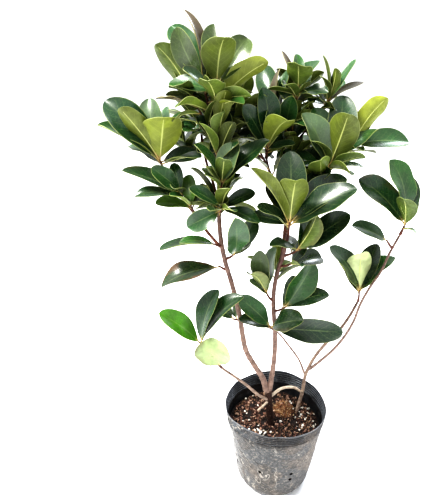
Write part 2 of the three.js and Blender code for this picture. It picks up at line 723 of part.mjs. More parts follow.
const fixed = [withBox(pot), withBox(soil)];
const grown = new Map(SHOOTS.map(({ name }) => [name, []]));
for (const { name, stem, leaves = [], whorl } of SHOOTS) {
  const twig = twigs.get(name);
  const parent = withBox(stems.get(stem).solid);
  const others = [...fixed];
  for (const [key, { solid }] of stems) if (key !== stem) others.push(withBox(solid));
  for (const [key, { part }] of twigs) if (key !== name) others.push(part);
  for (const [key, list] of grown) if (key !== name) others.push(...list.map(({ whole }) => whole));
  const siblings = grown.get(name);
  for (const leaf of [...leaves, ...(whorl ? whorlLeaves(whorl) : [])]) {
    siblings.push(growLeaf(leaf, twig, others, siblings, [parent, twig.part]));
  }
}

for (const { name, stem } of SHOOTS) {
  let solid = twigs.get(name).part.solid;
  for (const { whole } of grown.get(name)) solid = solid.add(whole.solid);
  solid = mainBody(solid.subtract(stems.get(stem).fat));
  addPiece(name, solid, 0x3f5a2a, 0.4);
}

export default plant;
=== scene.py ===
"""A young Indian hawthorn in a soft nursery pot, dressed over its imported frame. Metres, +Z up."""

import json
import logging
import math
import random
from collections.abc import Callable, Iterable, Sequence
from dataclasses import dataclass, field
from enum import Enum

import bmesh
import bpy
import numpy as np
from mathutils import Matrix, Quaternion, Vector, noise
from mathutils.bvhtree import BVHTree

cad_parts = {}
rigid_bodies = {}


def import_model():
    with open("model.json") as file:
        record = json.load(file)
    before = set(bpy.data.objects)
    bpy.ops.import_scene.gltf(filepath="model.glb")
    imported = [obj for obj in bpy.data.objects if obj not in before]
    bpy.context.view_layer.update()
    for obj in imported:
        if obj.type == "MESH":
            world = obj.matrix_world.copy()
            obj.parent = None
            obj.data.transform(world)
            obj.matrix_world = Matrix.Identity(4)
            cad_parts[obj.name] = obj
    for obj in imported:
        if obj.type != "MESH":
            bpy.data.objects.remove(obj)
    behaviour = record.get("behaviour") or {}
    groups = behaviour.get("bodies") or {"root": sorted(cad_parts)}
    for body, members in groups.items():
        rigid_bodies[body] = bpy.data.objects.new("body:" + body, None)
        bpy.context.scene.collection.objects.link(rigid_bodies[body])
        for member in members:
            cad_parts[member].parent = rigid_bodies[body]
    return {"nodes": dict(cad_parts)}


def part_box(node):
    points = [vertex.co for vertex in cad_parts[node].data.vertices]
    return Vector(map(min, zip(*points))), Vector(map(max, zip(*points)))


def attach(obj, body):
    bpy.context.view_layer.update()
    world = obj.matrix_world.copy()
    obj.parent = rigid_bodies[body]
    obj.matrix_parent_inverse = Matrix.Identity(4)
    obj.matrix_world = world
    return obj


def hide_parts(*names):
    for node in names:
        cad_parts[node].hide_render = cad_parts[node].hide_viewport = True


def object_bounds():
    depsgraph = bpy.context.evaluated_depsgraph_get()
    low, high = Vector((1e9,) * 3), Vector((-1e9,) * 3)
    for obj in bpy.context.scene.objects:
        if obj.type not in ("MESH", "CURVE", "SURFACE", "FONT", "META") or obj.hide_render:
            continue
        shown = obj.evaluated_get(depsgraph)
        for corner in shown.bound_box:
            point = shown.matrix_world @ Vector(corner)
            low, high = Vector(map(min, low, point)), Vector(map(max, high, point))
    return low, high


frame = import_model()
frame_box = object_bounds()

log = logging.getLogger("hawthorn")

MM = 0.001
MERGE = 2e-6  # vertices of a frame node this close are one
Colour = tuple[float, float, float, float]
Run = tuple[Sequence[Vector], Sequence[float]]  # points and radii
Piece = bpy.types.Object
Mesh = bpy.types.Mesh
Socket = bpy.types.NodeSocket
Material = bpy.types.Material


def colour(code: str) -> Colour:
    """Turn a hex colour into scene-linear values.

    Args:
        code: Six hex digits, as in "1f3a22".

    Returns:
        Red, green, blue and an alpha of 1.
    """
    parts = [int(code[i : i + 2], 16) / 255 for i in (0, 2, 4)]
    r, g, b = [c / 12.92 if c <= 0.04045 else ((c + 0.055) / 1.055) ** 2.4 for c in parts]
    return (r, g, b, 1.0)


def blend(first: Sequence[float], second: Sequence[float], share: float) -> tuple[float, ...]:
    """Mix two rows of numbers.

    Args:
        first: The numbers at a share of 0.
        second: The numbers at a share of 1.
        share: How far to go from the first to the second.

    Returns:
        The mixed numbers.
    """
    return tuple(a + (b - a) * share for a, b in zip(first, second))


def ease(low: float, high: float, value: float) -> float:
    """Rise smoothly from 0 at low to 1 at high.

    Args:
        low: Where the rise starts.
        high: Where the rise ends.
        value: Where to read it.

    Returns:
        A number from 0 to 1.
    """
    t = min(1.0, max(0.0, (value - low) / (high - low)))
    return t * t * (3 - 2 * t)


# ------------------------------------------------------------------ the workbench


class Bench:
    """Everyday modelling moves made with the built-in operators."""

    @staticmethod
    def clear() -> None:
        """Leave nothing selected."""
        if bpy.context.object and bpy.context.object.mode != "OBJECT":
            bpy.ops.object.mode_set(mode="OBJECT")
        bpy.ops.object.select_all(action="DESELECT")

    @classmethod
    def pick(cls, *pieces: Piece) -> Piece:
        """Select only these pieces, the first one active.

        Args:
            pieces: The pieces to select.

        Returns:
            The active piece.
        """
        cls.clear()
        for piece in pieces:
            piece.select_set(True)
        bpy.context.view_layer.objects.active = pieces[0]
        return pieces[0]

    @staticmethod
    def place(name: str, data: bpy.types.ID) -> Piece:
        """Put a mesh, a curve, a lamp or a camera into the scene.

        Args:
            name: The new object's name.
            data: What it shows.

        Returns:
            The new object.
        """
        piece = bpy.data.objects.new(name, data)
        bpy.context.scene.collection.objects.link(piece)
        return piece

    @staticmethod
    def dress(piece: Piece, *finishes: Material) -> None:
        """Give a piece these materials and no others.

        Args:
            piece: The piece to dress.
            finishes: Its materials, in order.
        """
        piece.data.materials.clear()
        for finish in finishes:
            piece.data.materials.append(finish)

    @staticmethod
    def keep(piece: Piece) -> Mesh:
        """Keep a piece's mesh and drop its object.

        Args:
            piece: The piece to drop.

        Returns:
            A copy of its mesh.
        """
        mesh = piece.data.copy()
        bpy.data.objects.remove(piece)
        return mesh

    @classmethod
    def tube(cls, name: str, runs: Iterable[Run], resolution: int) -> Piece:
        """Make round tubes with closed ends.

        Args:
            name: The piece's name.
            runs: The points and the radii of each tube.
            resolution: The resolution of the tubes' bevel.

        Returns:
            The tubes as one mesh.
        """
        line = bpy.data.curves.new(name, "CURVE")
        line.dimensions, line.bevel_depth, line.bevel_resolution = "3D", 1.0, resolution
        line.use_fill_caps = True
        for points, radii in runs:
            spline = line.splines.new("POLY")
            spline.points.add(len(points) - 1)
            for spot, point, radius in zip(spline.points, points, radii):
                spot.co, spot.radius = (*point, 1.0), radius
        cls.pick(cls.place(name, line))
        bpy.ops.object.convert(target="MESH")
        return bpy.context.object

    @classmethod
    def edit(cls, piece: Piece, mode: str = "VERT", action: str = "DESELECT") -> None:
        """Open a piece in edit mode.

        Args:
            piece: The piece to open.
            mode: What is to be selected, VERT, EDGE or FACE.
            action: SELECT to start with everything selected, DESELECT to start with nothing.
        """
        cls.pick(piece)
        bpy.ops.object.mode_set(mode="EDIT")
        bpy.ops.mesh.select_mode(type=mode)
        bpy.ops.mesh.select_all(action=action)

    @staticmethod
    def choose(piece: Piece, test: Callable[[Vector], bool]) -> None:
        """Select the vertices of the piece in edit mode that pass a test.

        Args:
            piece: The piece in edit mode.
            test: Says of a place whether a vertex there is wanted.
        """
        mesh = bmesh.from_edit_mesh(piece.data)
        bpy.ops.mesh.select_all(action="DESELECT")
        for vert in mesh.verts:
            if test(vert.co):
                vert.select_set(True)
        mesh.select_flush(True)
        bmesh.update_edit_mesh(piece.data)

    @staticmethod
    def chosen_mean(piece: Piece, measure: Callable[[Vector], float]) -> float:
        """Give the mean of a measure over the selected vertices of the piece in edit mode."""
        chosen = [measure(v.co) for v in bmesh.from_edit_mesh(piece.data).verts if v.select]
        return sum(chosen) / len(chosen)

    @classmethod
    def join(cls, pieces: Sequence[Piece], name: str) -> Piece:
        """Join pieces into one and name it.

        Args:
            pieces: The pieces to join.
            name: The name of the joined piece.

        Returns:
            The joined piece.
        """
        joined = cls.pick(*pieces)
        if len(pieces) > 1:
            bpy.ops.object.join()
        joined.name = joined.data.name = name
        return joined

    @classmethod
    def close(cls, piece: Piece) -> None:
        """Merge a piece's doubled vertices and turn its faces outwards.

        Args:
            piece: The piece to tidy.
        """
        cls.edit(piece, action="SELECT")
        bpy.ops.mesh.remove_doubles(threshold=MERGE)
        bpy.ops.mesh.normals_make_consistent(inside=False)
        bpy.ops.object.mode_set(mode="OBJECT")

    @classmethod
    def apply(cls, piece: Piece, kind: str, **settings: object) -> None:
        """Add a modifier and apply it.

        Args:
            piece: The piece to change.
            kind: The modifier's type.
            settings: The modifier's own values.
        """
        cls.pick(piece)
        modifier = piece.modifiers.new(kind.title(), kind)
        for key, value in settings.items():
            setattr(modifier, key, value)
        bpy.ops.object.modifier_apply(modifier=modifier.name)

    @classmethod
    def settle(cls, piece: Piece) -> None:
        """Put a piece's place into its mesh, so that its object sits at the origin.

        Args:
            piece: The piece to settle.
        """
        cls.pick(piece)
        bpy.ops.object.transform_apply(location=True, rotation=True, scale=True)

    @classmethod
    def smooth(cls, piece: Piece, angle: float = 50.0) -> None:
        """Shade a piece smooth, apart from its sharp edges.

        Args:
            piece: The piece to shade.
            angle: The sharpest angle in degrees that is still smoothed.
        """
        cls.pick(piece)
        bpy.ops.object.shade_smooth_by_angle(angle=math.radians(angle))

    @staticmethod
    def points(mesh: Mesh) -> np.ndarray:
        """Read a mesh's vertices as rows of x, y and z.

        Args:
            mesh: The mesh.

        Returns:
            The rows.
        """
        flat = np.empty(len(mesh.vertices) * 3)
        mesh.vertices.foreach_get("co", flat)
        return flat.reshape(-1, 3)

    @staticmethod
    def reshape(mesh: Mesh, points: np.ndarray) -> None:
        """Move a mesh's vertices to the given rows of x, y and z."""
        mesh.vertices.foreach_set("co", points.astype(np.float64).ravel())
        mesh.update()

    @staticmethod
    def tint(mesh: Mesh, name: str, tints: Sequence[Sequence[float]]) -> None:
        """Paint a colour on each vertex of a mesh.

        Args:
            mesh: The mesh to paint.
            name: The name of the colour attribute.
            tints: One colour, or one for each vertex.
        """
        layer = mesh.attributes.get(name) or mesh.attributes.new(name, "FLOAT_COLOR", "POINT")
        rows = np.asarray(tints, float)
        if rows.ndim == 1:
            rows = np.tile(rows, (len(mesh.vertices), 1))
        layer.data.foreach_set("color", rows.ravel())

    @classmethod
    def hand_over(cls, piece: Piece, slot: str, nodes: Iterable[str]) -> None:
        """Fix a finished piece to the frame and report it.

        Args:
            piece: The finished piece.
            slot: The record's material slot; not used.
            nodes: The frame's nodes that the piece stands for.
        """
        cls.clear()
        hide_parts(*nodes)
        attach(piece, "root")
        log.info("%s: %d faces", piece.name, len(piece.data.polygons))


# ------------------------------------------------------------------ finishes


class Graph:
    """The nodes of one material, wired by short calls."""

    def __init__(self, name: str) -> None:
        """Start a material with a plain shader.

        Args:
            name: The material's name.
        """
        self.material = bpy.data.materials.new(name)
        self.material.use_nodes = True
        self.tree = self.material.node_tree
        self.shader = self.tree.nodes["Principled BSDF"]

    def feed(self, socket: Socket, value: object) -> None:
        """Link a socket to another one, or set it to a value.

        Args:
            socket: The socket to feed.
            value: A socket, a plain value or None.
        """
        if isinstance(value, Socket):
            self.tree.links.new(value, socket)
        elif value is not None:
            socket.default_value = value

    def set(self, **values: object) -> None:
        """Feed the shader's sockets, named in lower case with underscores."""
        for key, value in values.items():
            self.feed(self.shader.inputs[key.replace("_", " ").title().replace("Ior", "IOR")], value)

    def add(self, kind: str, feeds: dict[int | str, object], **settings: object) -> bpy.types.Node:
        """Add a node.

        Args:
            kind: The node's type, without its leading ShaderNode.
            feeds: What goes into its sockets, by number or name.
            settings: The node's own values.

        Returns:
            The node.
        """
        node = self.tree.nodes.new("ShaderNode" + kind)
        for key, value in settings.items():
            setattr(node, key, value)
        for key, value in feeds.items():
            self.feed(node.inputs[key], value)
        return node

    def place(self) -> Socket:
        """Give the place on the object, in metres."""
        return self.add("TexCoord", {}).outputs["Object"]

    def paint(self, name: str) -> Socket:
        """Give a painted attribute's colour."""
        return self.add("Attribute", {}, attribute_name=name).outputs["Color"]

    def across(self) -> tuple[Socket, Socket]:
        """Give the place on a leaf.

        Returns:
            How far out from the midrib, 0 to 1, and how far along the leaf, 0 to 1.
        """
        uv = self.add("UVMap", {}, uv_map="leaf_uv").outputs["UV"]
        parts = self.add("SeparateXYZ", {0: uv}).outputs
        return self.times(self.off(parts["X"], 0.5), 2.0), parts["Y"]

    def maths(self, kind: str, *values: object) -> Socket:
        """Work out a number."""
        return self.add("Math", dict(enumerate(values)), operation=kind).outputs[0]

    def times(self, first: object, second: object) -> Socket:
        """Multiply two numbers."""
        return self.maths("MULTIPLY", first, second)

    def plus(self, first: object, second: object) -> Socket:
        """Add two numbers."""
        return self.maths("ADD", first, second)

    def off(self, value: object, middle: float) -> Socket:
        """Tell how far a number is from a middle."""
        return self.maths("ABSOLUTE", self.maths("SUBTRACT", value, middle))

    def grain(
        self, scale: float, detail: float = 4.0, rough: float = 0.55, where: object = None
    ) -> Socket:
        """Give a cloudy pattern.

        Args:
            scale: How many clouds to a metre.
            detail: How many finer layers it has.
            rough: How strong the finer layers are.
            where: The place to read it at, or None for the place on the object.

        Returns:
            A number from 0 to 1.
        """
        feeds = {"Vector": where or self.place(), "Scale": scale, "Detail": detail, "Roughness": rough}
        return self.add("TexNoise", feeds).outputs["Fac"]

    def band(self, value: object, low: float, high: float, top: float = 1.0) -> Socket:
        """Rise smoothly from 0 at low to top at high; low may be the higher number."""
        feeds = {"Value": value, "From Min": low, "From Max": high, "To Min": 0.0, "To Max": top}
        return self.add("MapRange", feeds, interpolation_type="SMOOTHSTEP").outputs[0]

    def mix(self, share: object, first: object, second: object) -> Socket:
        """Mix two colours, each a socket or six hex digits.

        Args:
            share: How much of the second one, 0 to 1.
            first: The first colour.
            second: The second colour.

        Returns:
            The mixed colour.
        """
        node = self.add("Mix", {}, data_type="RGBA", blend_type="MIX")
        for index, value in ((0, share), (6, first), (7, second)):
            self.feed(node.inputs[index], colour(value) if isinstance(value, str) else value)
        return node.outputs[2]

    def coats(self, body: object, *coats: tuple[object, object]) -> object:
        """Lay colours over one another.

        Args:
            body: The lowest colour.
            coats: How much of each colour shows, 0 to 1, and the colour.

        Returns:
            The colour that they make.
        """
        for share, tone in coats:
            body = self.mix(share, body, tone)
        return body

    def relief(self, height: object, strength: float, depth: float) -> None:
        """Give the surface relief.

        Args:
            height: The height, 0 to 1.
            strength: How much of it shows.
            depth: How deep the relief is, in metres.
        """
        bump = self.add("Bump", {"Height": height, "Strength": strength, "Distance": depth})
        self.feed(self.shader.inputs["Normal"], bump.outputs[0])


@dataclass(frozen=True)
class LeafSide:
    """The skin of one side of the leaves."""

    name: str
    paint: str  # the painted colour that it shows
    vein: str
    gloss: tuple[float, float]  # the least and the greatest roughness
    coat: float
    vein_share: float  # how strongly the side veins show
    midrib_share: float
    margin: str = "a5ab70"
    base: str = "b3a466"
    scar: str = "5a4128"
    vein_count: float = 9.0
    vein_slant: float = 0.22

    def material(self) -> Material:
        """Make the skin: mottled, with a pale midrib, faint side veins and a thin pale margin.

        Returns:
            The material.
        """
        graph = Graph(self.name)
        out, along = graph.across()
        tint = graph.paint(self.paint)
        cloud = graph.band(graph.grain(70, 3), 0.3, 0.7)
        fine = graph.grain(650, 3)
        slant = graph.maths("SUBTRACT", along, graph.times(out, self.vein_slant))
        saw = graph.maths("PINGPONG", graph.times(slant, self.vein_count), 0.5)
        veins = graph.times(graph.band(saw, 0.09, 0.0, self.vein_share), graph.band(out, 0.96, 0.6))
        rib = graph.times(graph.band(out, 0.075, 0.02), graph.band(along, 1.02, 0.55))
        spots = graph.band(graph.grain(120, 5, 0.7), 0.62, 0.7)
        edge = graph.band(graph.plus(graph.times(graph.grain(60, 3), 0.7), graph.times(out, 0.45)), 0.66, 0.8)
        harm = graph.add("SeparateColor", {0: graph.paint("wear")}).outputs[0]
        body = graph.coats(
            tint,
            (0.38, "000000"),
            (cloud, tint),
            (graph.band(fine, 0.45, 0.75, 0.09), self.vein),
            (veins, self.vein),
            (graph.times(rib, self.midrib_share), self.vein),
            (graph.band(out, 0.94, 0.995, 0.4), self.margin),
            (graph.band(along, 0.2, 0.03, 0.55), self.base),
            (graph.times(graph.maths("MAXIMUM", spots, edge), harm), self.scar),
        )
        low, high = self.gloss
        feeds = {"Value": cloud, "From Min": 0.0, "From Max": 1.0, "To Min": high, "To Max": low}
        sheen = graph.add("MapRange", feeds).outputs[0]
        graph.relief(graph.plus(graph.times(fine, 0.5), graph.times(veins, -1.5)), 0.35, 0.25 * MM)
        graph.set(base_color=body, roughness=sheen, coat_weight=self.coat, coat_roughness=0.16)
        return graph.material


@dataclass(frozen=True)
class RibSkin:
    """The leaf stalk and the raised midrib beneath the blade."""

    name: str = "leaf_rib"
    pale: str = "d9dc93"
    stalk: tuple[str, str] = ("a98a52", "c4ad72")

    def material(self) -> Material:
        """Make the skin: straw brown at the stalk, pale green along the blade.

        Returns:
            The material.
        """
        graph = Graph(self.name)
        _, along = graph.across()
        pale = graph.mix(0.62, graph.paint("under_tint"), self.pale)
        stalk = graph.mix(graph.grain(300), *self.stalk)
        graph.relief(graph.grain(900), 0.3, 0.2 * MM)
        graph.set(base_color=graph.mix(graph.band(along, 0.06, 0.26), stalk, pale), roughness=0.5)
        return graph.material


@dataclass(frozen=True)
class Bark:
    """Young bark, painted along each stem and mottled with darker flecks."""

    name: str = "bark"
    shade: str = "2a1512"
    fleck: str = "d9c2a6"

    def material(self) -> Material:
        """Make the bark.

        Returns:
            The material.
        """
        graph = Graph(self.name)
        tint = graph.paint("bark_tint")
        cloud = graph.band(graph.grain(160, 5, 0.65), 0.32, 0.68)
        dark = graph.mix(0.55, tint, self.shade)
        body = graph.coats(
            dark,
            (cloud, tint),
            (graph.band(graph.grain(330, 4, 0.6), 0.56, 0.66, 0.6), dark),
            (graph.band(graph.grain(1100, 3, 0.6), 0.6, 0.72, 0.55), self.fleck),
        )
        graph.relief(graph.plus(graph.grain(420, 5, 0.7), graph.times(cloud, 0.6)), 0.6, 0.5 * MM)
        graph.set(base_color=body, roughness=0.72)
        return graph.material


@dataclass(frozen=True)
class PotFilm:
    """Thin dark plastic film, ribbed under the rim and dusty on the outside; its colour carries painted
    light: highlights on the ribs and creases, shade in the rib grooves and a lighter side.
    """

    name: str
    rim: float  # the rim's height
    pitch: float  # the height of one rib
    dusty: bool
    clean: tuple[str, str] = ("131315", "2e3034")
    # the outside's dark tone and its pale tone; the pale one shows as dust and as painted side light
    dust_and_side_light: tuple[str, str] = ("2a2725", "6a6159")
    # painted shade for the grooves between the ribs, and a painted highlight for the rib crests
    groove_shade: str = "08080a"
    glint: str = "757b84"
    lip: str = "5d6066"

    def dirt_and_painted_light(
        self, graph: Graph, place: Socket, clean: Socket
    ) -> tuple[object, Socket]:
        """Wire the outside: dusty, stained and speckled, with painted side light that lightens it towards the
        right and the bottom, painted highlights along its creases and a dark foot.

        Args:
            graph: The film's graph.
            place: The place on the pot.
            clean: The clean film's colour.

        Returns:
            The colour and the roughness.
        """
        parts = graph.add("SeparateXYZ", {0: place}).outputs
        tall = graph.add("Mapping", {0: place, 3: (1.0, 1.0, 0.55)}).outputs[0]
        # painted light: this ramp lightens the outside towards the right and towards the bottom, a lit side
        # painted into the colour; the noise in the mask below adds real dust
        side_light_ramp = graph.times(graph.plus(graph.plus(parts["X"], graph.times(parts["Z"], -0.5)), 0.03), 3.0)
        dust_and_side_light = graph.band(graph.plus(graph.grain(40, 9, 0.72, tall), side_light_ramp), 0.36, 0.68)
        # painted highlight: pale streaks along the film's crumple lines stand in for light catching the
        # creases
        fold = graph.off(graph.grain(26, 5, 0.6, tall), 0.5)
        crease = graph.times(graph.band(fold, 0.016, 0.0, 0.75), graph.band(graph.grain(33), 0.42, 0.58))
        mottle = graph.grain(300, 7, 0.75)
        middle = graph.band(graph.off(parts["X"], 5 * MM), 34 * MM, 10 * MM)
        smudge = graph.times(middle, graph.band(graph.grain(50, 5), 0.35, 0.6))
        upper = graph.band(parts["Z"], self.rim - 30 * MM, self.rim - 14 * MM, 0.75)
        body = graph.coats(
            self.dust_and_side_light[0],
            (dust_and_side_light, self.dust_and_side_light[1]),
            (graph.band(graph.grain(24, 3), 0.5, 0.58, 0.75), "3c4044"),
            # painted highlight along the creases
            (crease, "bdb6ac"),
            (graph.band(graph.grain(90, 9, 0.8), 0.54, 0.62, 0.7), "24211f"),
            (graph.band(mottle, 0.5, 0.4, 0.65), "1c1a19"),
            (graph.band(mottle, 0.53, 0.66, 0.6), "a39789"),
            (graph.band(parts["Z"], 26 * MM, 6 * MM, 0.6), "2a2624"),
            (graph.times(smudge, upper), clean),
        )
        return body, graph.plus(0.3, graph.times(dust_and_side_light, 0.25))

    def material(self) -> Material:
        """Make the film.

        Returns:
            The material.
        """
        graph = Graph(self.name)
        place = graph.place()
        height = graph.add("SeparateXYZ", {0: place}).outputs["Z"]
        clean = graph.mix(graph.band(graph.grain(60, 6, 0.7), 0.35, 0.65), *self.clean)
        body, rough = self.dirt_and_painted_light(graph, place, clean) if self.dusty else (clean, 0.32)
        # painted light on the ribs: a pale glint on each rib crest is a painted highlight and the dark groove
        # between ribs is painted shade, strong inside and faint outside
        glint_share, groove_shade_share = (0.35, 0.25) if self.dusty else (1.0, 0.8)
        lines = graph.maths("PINGPONG", graph.maths("DIVIDE", height, self.pitch), 0.5)
        ribbed = graph.band(height, self.rim - 17 * MM, self.rim - 15.5 * MM)
        patches = graph.band(graph.grain(45, 3), 0.3, 0.5)
        glint = graph.times(graph.band(lines, 0.2, 0.45, glint_share), patches)
        body = graph.coats(
            body,
            (graph.times(ribbed, graph.band(lines, 0.22, 0.05, groove_shade_share)), self.groove_shade),
            (graph.times(ribbed, glint), self.glint),
            (graph.band(height, self.rim - 0.8 * MM, self.rim - 0.3 * MM, 0.7), self.lip),
        )
        folds = graph.times(graph.band(graph.off(graph.grain(48, 3), 0.5), 0.05, 0.0), 0.9)
        graph.relief(graph.plus(folds, graph.grain(240, 7, 0.75)), 0.6, 0.8 * MM)
        graph.set(base_color=body, roughness=rough)
        return graph.material


@dataclass(frozen=True)
class Crumb:
    """Earth, bark or grit whose colour is painted grain by grain."""

    name: str
    rough: float = 0.9
    wash: float = 0.5  # how dark its darker parts are
    shade: str = "0d0907"

    def material(self) -> Material:
        """Make the finish.

        Returns:
            The material.
        """
        graph = Graph(self.name)
        tint = graph.paint("grain_tint")
        dark = graph.mix(self.wash, tint, self.shade)
        graph.relief(graph.grain(900, 6, 0.75), 0.8, 0.8 * MM)
        speckle = graph.band(graph.grain(500, 6, 0.7), 0.35, 0.65)
        graph.set(base_color=graph.mix(speckle, dark, tint), roughness=self.rough)
        return graph.material


# ------------------------------------------------------------------ reading the frame


@dataclass(frozen=True)
class Route:
    """A stem's centreline from its base to its tip, with the radius at each point."""

    points: list[Vector]
    radii: list[float]

    def nearest(self, place: Vector) -> tuple[Vector, float]:
        """Find the closest point of the centreline.

        Args:
            place: Where to look from.

        Returns:
            The closest point and the radius there.
        """
        best = (math.inf, self.points[0], self.radii[0])
        for i, (a, b) in enumerate(zip(self.points, self.points[1:])):
            run = b - a
            t = min(1.0, max(0.0, (place - a).dot(run) / max(run.length_squared, 1e-12)))
            spot = a + run * t
            away = (place - spot).length
            if away < best[0]:
                best = (away, spot, self.radii[i] * (1 - t) + self.radii[i + 1] * t)
        return best[1], best[2]

    def sampled(self, step: float) -> "Route":
        """Round the centreline off and read it at even steps.

        Args:
            step: The length of a step.

        Returns:
            The finer route.
        """
        pts = [2 * self.points[0] - self.points[1], *self.points, 2 * self.points[-1] - self.points[-2]]
        places: list[Vector] = []
        radii: list[float] = []
        for i in range(len(self.points) - 1):
            a, b, c, d = pts[i : i + 4]
            count = max(1, round((c - b).length / step))
            for k in range(count):
                t = k / count
                square, cube = 2 * a - 5 * b + 4 * c - d, 3 * b - a - 3 * c + d
                places.append(0.5 * (2 * b + (c - a) * t + square * t * t + cube * t**3))
                radii.append(self.radii[i] * (1 - t) + self.radii[i + 1] * t)
        return Route([*places, self.points[-1].copy()], [*radii, self.radii[-1]])


@dataclass(frozen=True)
class Midrib:
    """Where one leaf runs, and how wide it is."""

    root: Vector
    crest: Vector
    tip: Vector
    face: Vector
    width: float

    @property
    def length(self) -> float:
        """The straight length from root to tip."""
        return (self.tip - self.root).length

    @property
    def heading(self) -> Vector:
        """The direction from root to tip."""
        return (self.tip - self.root).normalized()


class FrameReader:
    """Finds the stems' centrelines and the leaves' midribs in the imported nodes."""

    rings = (0.9, 0.66, 0.38, 0.12)  # places along a leaf that its solid has a ring at
    widest_ring = 1
    skin = (0.5, 0.9)  # a leaf solid's height above and below its middle
    ring_gap = 4.2 * MM  # vertices of one ring of a stem are closer than this
    whole_ring = (8, 9)  # how many vertices a stem's undisturbed ring has
    least_ring = 3
    ring_corners = 4  # vertices in a ring of a leaf
    tip_spread = 0.3  # a tip's edges lie at least this close to their mean direction
    least_half_width = 1.6 * MM
    most_taper = 1.4  # a leaf's ring at its tip is at most this much wider than the next

    @staticmethod
    def merged(node: str) -> bmesh.types.BMesh:
        """Copy a node's mesh with its doubled vertices merged.

        Args:
            node: The node's name.

        Returns:
            The merged copy.
        """
        mesh = bmesh.new()
        mesh.from_mesh(frame["nodes"][node].data)
        bmesh.ops.remove_doubles(mesh, verts=mesh.verts, dist=MERGE)
        mesh.verts.index_update()
        return mesh

    def stem(self, node: str, parent: Route | None) -> Route:
        """Read a stem's centreline.

        Args:
            node: The stem's node.
            parent: The stem that it grows from, or None if it comes out of the soil.

        Returns:
            The centreline from its base to its tip.
        """
        mesh = self.merged(node)
        group = {v: {v} for v in mesh.verts}
        for edge in mesh.edges:
            a, b = (group[v] for v in edge.verts)
            if a is not b and edge.calc_length() < self.ring_gap:
                a |= b
                for v in b:
                    group[v] = a
        rings = list({id(g): g for g in group.values()}.values())
        centre = {id(g): sum((v.co for v in g), Vector()) / len(g) for g in rings}
        near = {id(g): set() for g in rings}
        for edge in mesh.edges:
            a, b = (id(group[v]) for v in edge.verts)
            if a != b:
                near[a].add(b)
                near[b].add(a)
        size = {id(g): len(g) for g in rings}
        spread = {id(g): sum((v.co - centre[id(g)]).length for v in g) / len(g) for g in rings}
        ends = [key for key in near if len(near[key]) == 1]
        walk = [ends[0]]
        while True:
            onward = [key for key in near[walk[-1]] if key not in walk]
            if not onward:
                break
            walk.append(min(onward, key=lambda key: (centre[key] - centre[walk[-1]]).length))
        walk = [key for key in walk if size[key] >= self.least_ring]
        sound = [key for key in walk if size[key] in self.whole_ring]
        points = [centre[key] for key in walk]
        radii = [spread[min(sound, key=lambda other: (centre[other] - point).length)] for point in points]
        first, last = points[0], points[-1]
        if parent is None:
            turned = first.z > last.z
        else:
            turned = (parent.nearest(first)[0] - first).length > (parent.nearest(last)[0] - last).length
        if turned:
            points.reverse()
            radii.reverse()
        mesh.free()
        if parent is not None:
            points.insert(0, parent.nearest(points[0])[0])
            radii.insert(0, radii[0])
        return Route(points, radii)

    def leaves(self, node: str) -> tuple[list[Midrib], list[Vector]]:
        """Read the leaves of a shoot.

        Args:
            node: The shoot's node.

        Returns:
            The leaves' midribs, and the places of the vertices that belong to no leaf.
        """
        mesh = self.merged(node)
        found: list[Midrib] = []
        used: set[int] = set()
        for vert in mesh.verts:
            rings = self.leaf_rings(vert)
            if len(rings) < 2:
                continue
            ribs = [self.ring_parts(ring) for ring in rings]
            if not self.least_half_width <= ribs[0][2] <= self.most_taper * ribs[1][2]:
                continue
            found.append(self.fit(vert.co.copy(), ribs))
            used |= {vert.index, *(v.index for ring in rings for v in ring)}
        rest = [v.co.copy() for v in mesh.verts if v.index not in used]
        mesh.free()
        return found, rest

    def leaf_rings(self, tip: bmesh.types.BMVert) -> list[list[bmesh.types.BMVert]]:
        """Follow a leaf's solid from its tip.

        Args:
            tip: The vertex that may be a tip.

        Returns:
            The rings of four vertices from the tip down, none if it isn't a tip.
        """
        if {len(tip.link_edges), len(tip.link_faces)} != {self.ring_corners}:
            return []
        ways = [(edge.other_vert(tip).co - tip.co).normalized() for edge in tip.link_edges]
        middle = sum(ways, Vector())
        if middle.length < MERGE or min(way.dot(middle.normalized()) for way in ways) < self.tip_spread:
            return []
        rings: list[list[bmesh.types.BMVert]] = []
        seen, layer = {tip}, {tip}
        for _ in self.rings:
            layer = {edge.other_vert(v) for v in layer for edge in v.link_edges} - seen
            if len(layer) != self.ring_corners:
                break
            rings.append(sorted(layer, key=lambda v: v.index))
            seen |= layer
        return rings

    def ring_parts(self, ring: list[bmesh.types.BMVert]) -> tuple[Vector, Vector, float]:
        """Take a ring of a leaf apart.

        Args:
            ring: The ring's four vertices.

        Returns:
            The midrib's place, the upward direction and half of the leaf's width there.
        """
        spots = [v.co for v in ring]
        pairs = [(a, b) for i, a in enumerate(spots) for b in spots[i + 1 :]]
        left, right = max(pairs, key=lambda pair: (pair[0] - pair[1]).length)
        top, low = [spot for spot in spots if spot is not left and spot is not right]
        centre = (left + right) / 2
        if (low - centre).length < (top - centre).length:
            top, low = low, top
        above, below = self.skin
        return low.lerp(top, below / (above + below)), (top - low).normalized(), (left - right).length / 2

    def fit(self, tip: Vector, ribs: list[tuple[Vector, Vector, float]]) -> Midrib:
        """Fit a leaf's midrib through its rings.

        Args:
            tip: The leaf's tip.
            ribs: The parts of its rings from the tip down.

        Returns:
            The midrib.
        """
        count = min(3, len(ribs))
        rows = [((1 - t) ** 2, 2 * t * (1 - t)) for t in self.rings[:count]]
        goals = [list(ribs[i][0] - tip * self.rings[i] ** 2) for i in range(count)]
        root, crest = np.linalg.lstsq(np.array(rows), np.array(goals), rcond=None)[0]
        face = ribs[self.widest_ring][1]
        return Midrib(Vector(root), Vector(crest), tip, face, 2 * ribs[self.widest_ring][2])


# ------------------------------------------------------------------ stems


